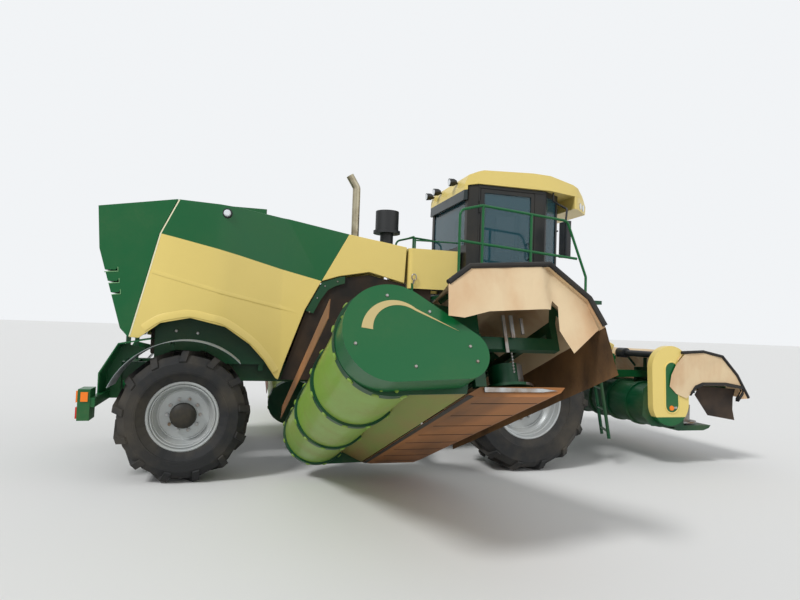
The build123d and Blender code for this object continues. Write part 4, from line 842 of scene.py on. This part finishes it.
# X, upper end, lower end and half width of each hanging plate
PLATES = ((-0.86, 0.12, -0.16, 0.012), (-0.80, 0.12, -0.05, 0.014), (-0.72, 0.10, -0.02, 0.01))
PLATES_V, CHAIN_X, CHAIN_V, CHAIN_TOP, CHAIN_STEP = 3.635, -0.835, 3.65, -0.16, 0.022
SHACKLE_X, SHACKLE_Y, SHACKLE_Z = -0.372, 0.64, 2.44
for name, side in SIDES:
    body = "mower_" + name
    stripe = Shape()
    outer, inner = [], []
    for k in range(25):
        a = math.radians(172 - 122 * k / 24)
        inner_r = STRIPE_R - STRIPE_BROAD + STRIPE_TAPER * k / 24
        outer.append((STRIPE_X + STRIPE_R * math.cos(a), STRIPE_W + STRIPE_R * math.sin(a)))
        inner.append((STRIPE_X + inner_r * math.cos(a), STRIPE_W + inner_r * math.sin(a)))
    face = [raised(x, COVER_OUT, w, side) for x, w in outer + [STRIPE_TAIL] + inner[::-1]]
    stripe.plate(face, outward(side), STRIPE_T)
    stripe.done("cover_stripe_" + name, body, "cream_dull")
    heads = Shape()
    for x, w in COVER_BOLTS:
        foot = raised(x, COVER_OUT, w, side)
        heads.turned(foot, foot + outward(side) * 0.008, [(0, 0.012), (1, 0.009)], 10)
    heads.done("cover_bolts_" + name, body, "bright_steel", smooth=True)
    bar = Shape()
    bar.plate([raised(x, END_BAR_V, w, side) for x, w in END_BAR], outward(side), END_BAR_T)
    bar.done("end_bar_" + name, body, "bright_steel", bevel=0.002)
    seams = Shape()
    for i in range(SKIDS):
        v = SKID_IN + SKID_WIDE * (i + 0.5)
        seams.plate([raised(x, v, SKID_W, side) for x in SKID_X]
                    + [raised(x, v + SEAM_WIDE, SKID_W, side) for x in SKID_X[::-1]], downward(side), 0.002)
    seams.plate(band(WEAR_STRIP, side), downward(side), 0.003)
    seams.done("skid_seams_" + name, body, "black")
    links = Shape()
    for x, top, foot, half in PLATES:
        corners = ((x - half, foot), (x + half, foot), (x + half, top), (x - half, top))
        links.plate([raised(px, PLATES_V, w, side) for px, w in corners], outward(side), 0.012)
    for k in range(7):
        top = CHAIN_TOP - CHAIN_STEP * k
        links.turned(raised(CHAIN_X, CHAIN_V, top, side), raised(CHAIN_X, CHAIN_V, top - 0.018, side),
                     [(0, 0.004), (0.5, 0.009), (1, 0.004)], 8)
    links.done("end_links_" + name, body, "bright_steel", smooth=True)
    loop = Shape()
    loop.tube([(SHACKLE_X + 0.032 * math.cos(2 * math.pi * k / 16), side * SHACKLE_Y,
                SHACKLE_Z + 0.042 * math.sin(2 * math.pi * k / 16)) for k in range(17)], 0.008, 8)
    loop.tube([(SHACKLE_X, side * SHACKLE_Y, 2.40), (-0.38, side * 0.63, 2.35)], 0.012, 8)
    loop.done("lifting_shackle_" + name, "chassis", "bright_steel", smooth=True)
    post = Shape()
    post.bar((-0.385, side * 0.60, 2.18), (-0.385, side * 0.60, 2.36), 0.016, 10)
    post.done("shackle_post_" + name, "chassis", "green", smooth=True)

# Rings of the rims and of the tyres' walls
for end, x, z, _, _, _, _, rim_r, tyre_w in WHEELS:
    for name, side in SIDES:
        middle = TYRE_OUT - tyre_w / 2
        rings = Shape()
        for out, radius, size in ((tyre_w / 2 - 0.074, rim_r - 0.012, 0.012), (0.21, rim_r - 0.045, 0.008),
                                  (0.134, rim_r - 0.059, 0.009), (0.068, rim_r - 0.108, 0.010)):
            rings.tube(circle(x, side * (middle + out), z, radius), size, 8)
        rings.done(f"rim_rings_{end}_{name}", f"{end}_wheel_{name}", "silver", smooth=True)
        walls = Shape()
        for radius in (rim_r + 0.10, rim_r + 0.125):
            walls.tube(circle(x, side * (middle + tyre_w / 2 - 0.012), z, radius), 0.013, 6)
        walls.done(f"tyre_rings_{end}_{name}", f"{end}_wheel_{name}", "tyre", smooth=True)

# Stage, light and camera
FLOOR = 300
YAW, PITCH, ROLL = math.radians(15.93), math.radians(2.80), math.radians(1.98)
SENSOR, LENS, PLACE = 36, 27.14, (-2.765, -8.37, 1.73)
AMBIENT, BACKDROP = 0.55, 0.95
floor_mesh = bpy.data.meshes.new("floor")
floor_mesh.from_pydata([(-FLOOR, -FLOOR, 0), (FLOOR, -FLOOR, 0), (FLOOR, FLOOR, 0), (-FLOOR, FLOOR, 0)], [],
                       [(0, 1, 2, 3)])
floor = bpy.data.objects.new("floor", floor_mesh)
bpy.context.scene.collection.objects.link(floor)
floor.data.materials.append(plain("floor_pale", (0.78, 0.78, 0.77), 0.9))

world = bpy.data.worlds.new("studio")
bpy.context.scene.world = world
world.use_nodes = True
tree = world.node_tree
background = tree.nodes["Background"]
background.inputs[0].default_value = (0.93, 0.95, 0.97, 1)
rays = tree.nodes.new("ShaderNodeLightPath")
seen = tree.nodes.new("ShaderNodeMath")
seen.operation = "MAXIMUM"
tree.links.new(rays.outputs["Is Camera Ray"], seen.inputs[0])
tree.links.new(rays.outputs["Is Glossy Ray"], seen.inputs[1])
level = tree.nodes.new("ShaderNodeMapRange")
tree.links.new(seen.outputs[0], level.inputs[0])
level.inputs[3].default_value = AMBIENT
level.inputs[4].default_value = BACKDROP
tree.links.new(level.outputs[0], background.inputs[1])


def lamp(name, direction, energy, spread):
    """A soft distant lamp that shines along a direction."""
    data = bpy.data.lights.new(name, "SUN")
    data.energy = energy
    data.angle = math.radians(spread)
    obj = bpy.data.objects.new(name, data)
    bpy.context.scene.collection.objects.link(obj)
    obj.rotation_mode = "QUATERNION"
    obj.rotation_quaternion = Vector(direction).to_track_quat("-Z", "Y")


lamp("key", (0.62, 0.45, -0.75), 1.7, 12)
lamp("fill", (-0.6, 0.7, -0.35), 0.5, 60)

forward = Vector((math.sin(YAW) * math.cos(PITCH), math.cos(YAW) * math.cos(PITCH), math.sin(PITCH)))
right = Vector((math.cos(YAW), -math.sin(YAW), 0))
up = right.cross(forward)
turned_right = right * math.cos(ROLL) + up * math.sin(ROLL)
turned_up = up * math.cos(ROLL) - right * math.sin(ROLL)
camera_data = bpy.data.cameras.new("camera")
camera_data.sensor_width = SENSOR
camera_data.lens = LENS
camera = bpy.data.objects.new("camera", camera_data)
bpy.context.scene.collection.objects.link(camera)
matrix = Matrix((turned_right, turned_up, -forward)).transposed().to_4x4()
matrix.translation = Vector(PLACE)
camera.matrix_world = matrix
bpy.context.scene.camera = camera
bpy.context.scene.view_settings.view_transform = "Standard"
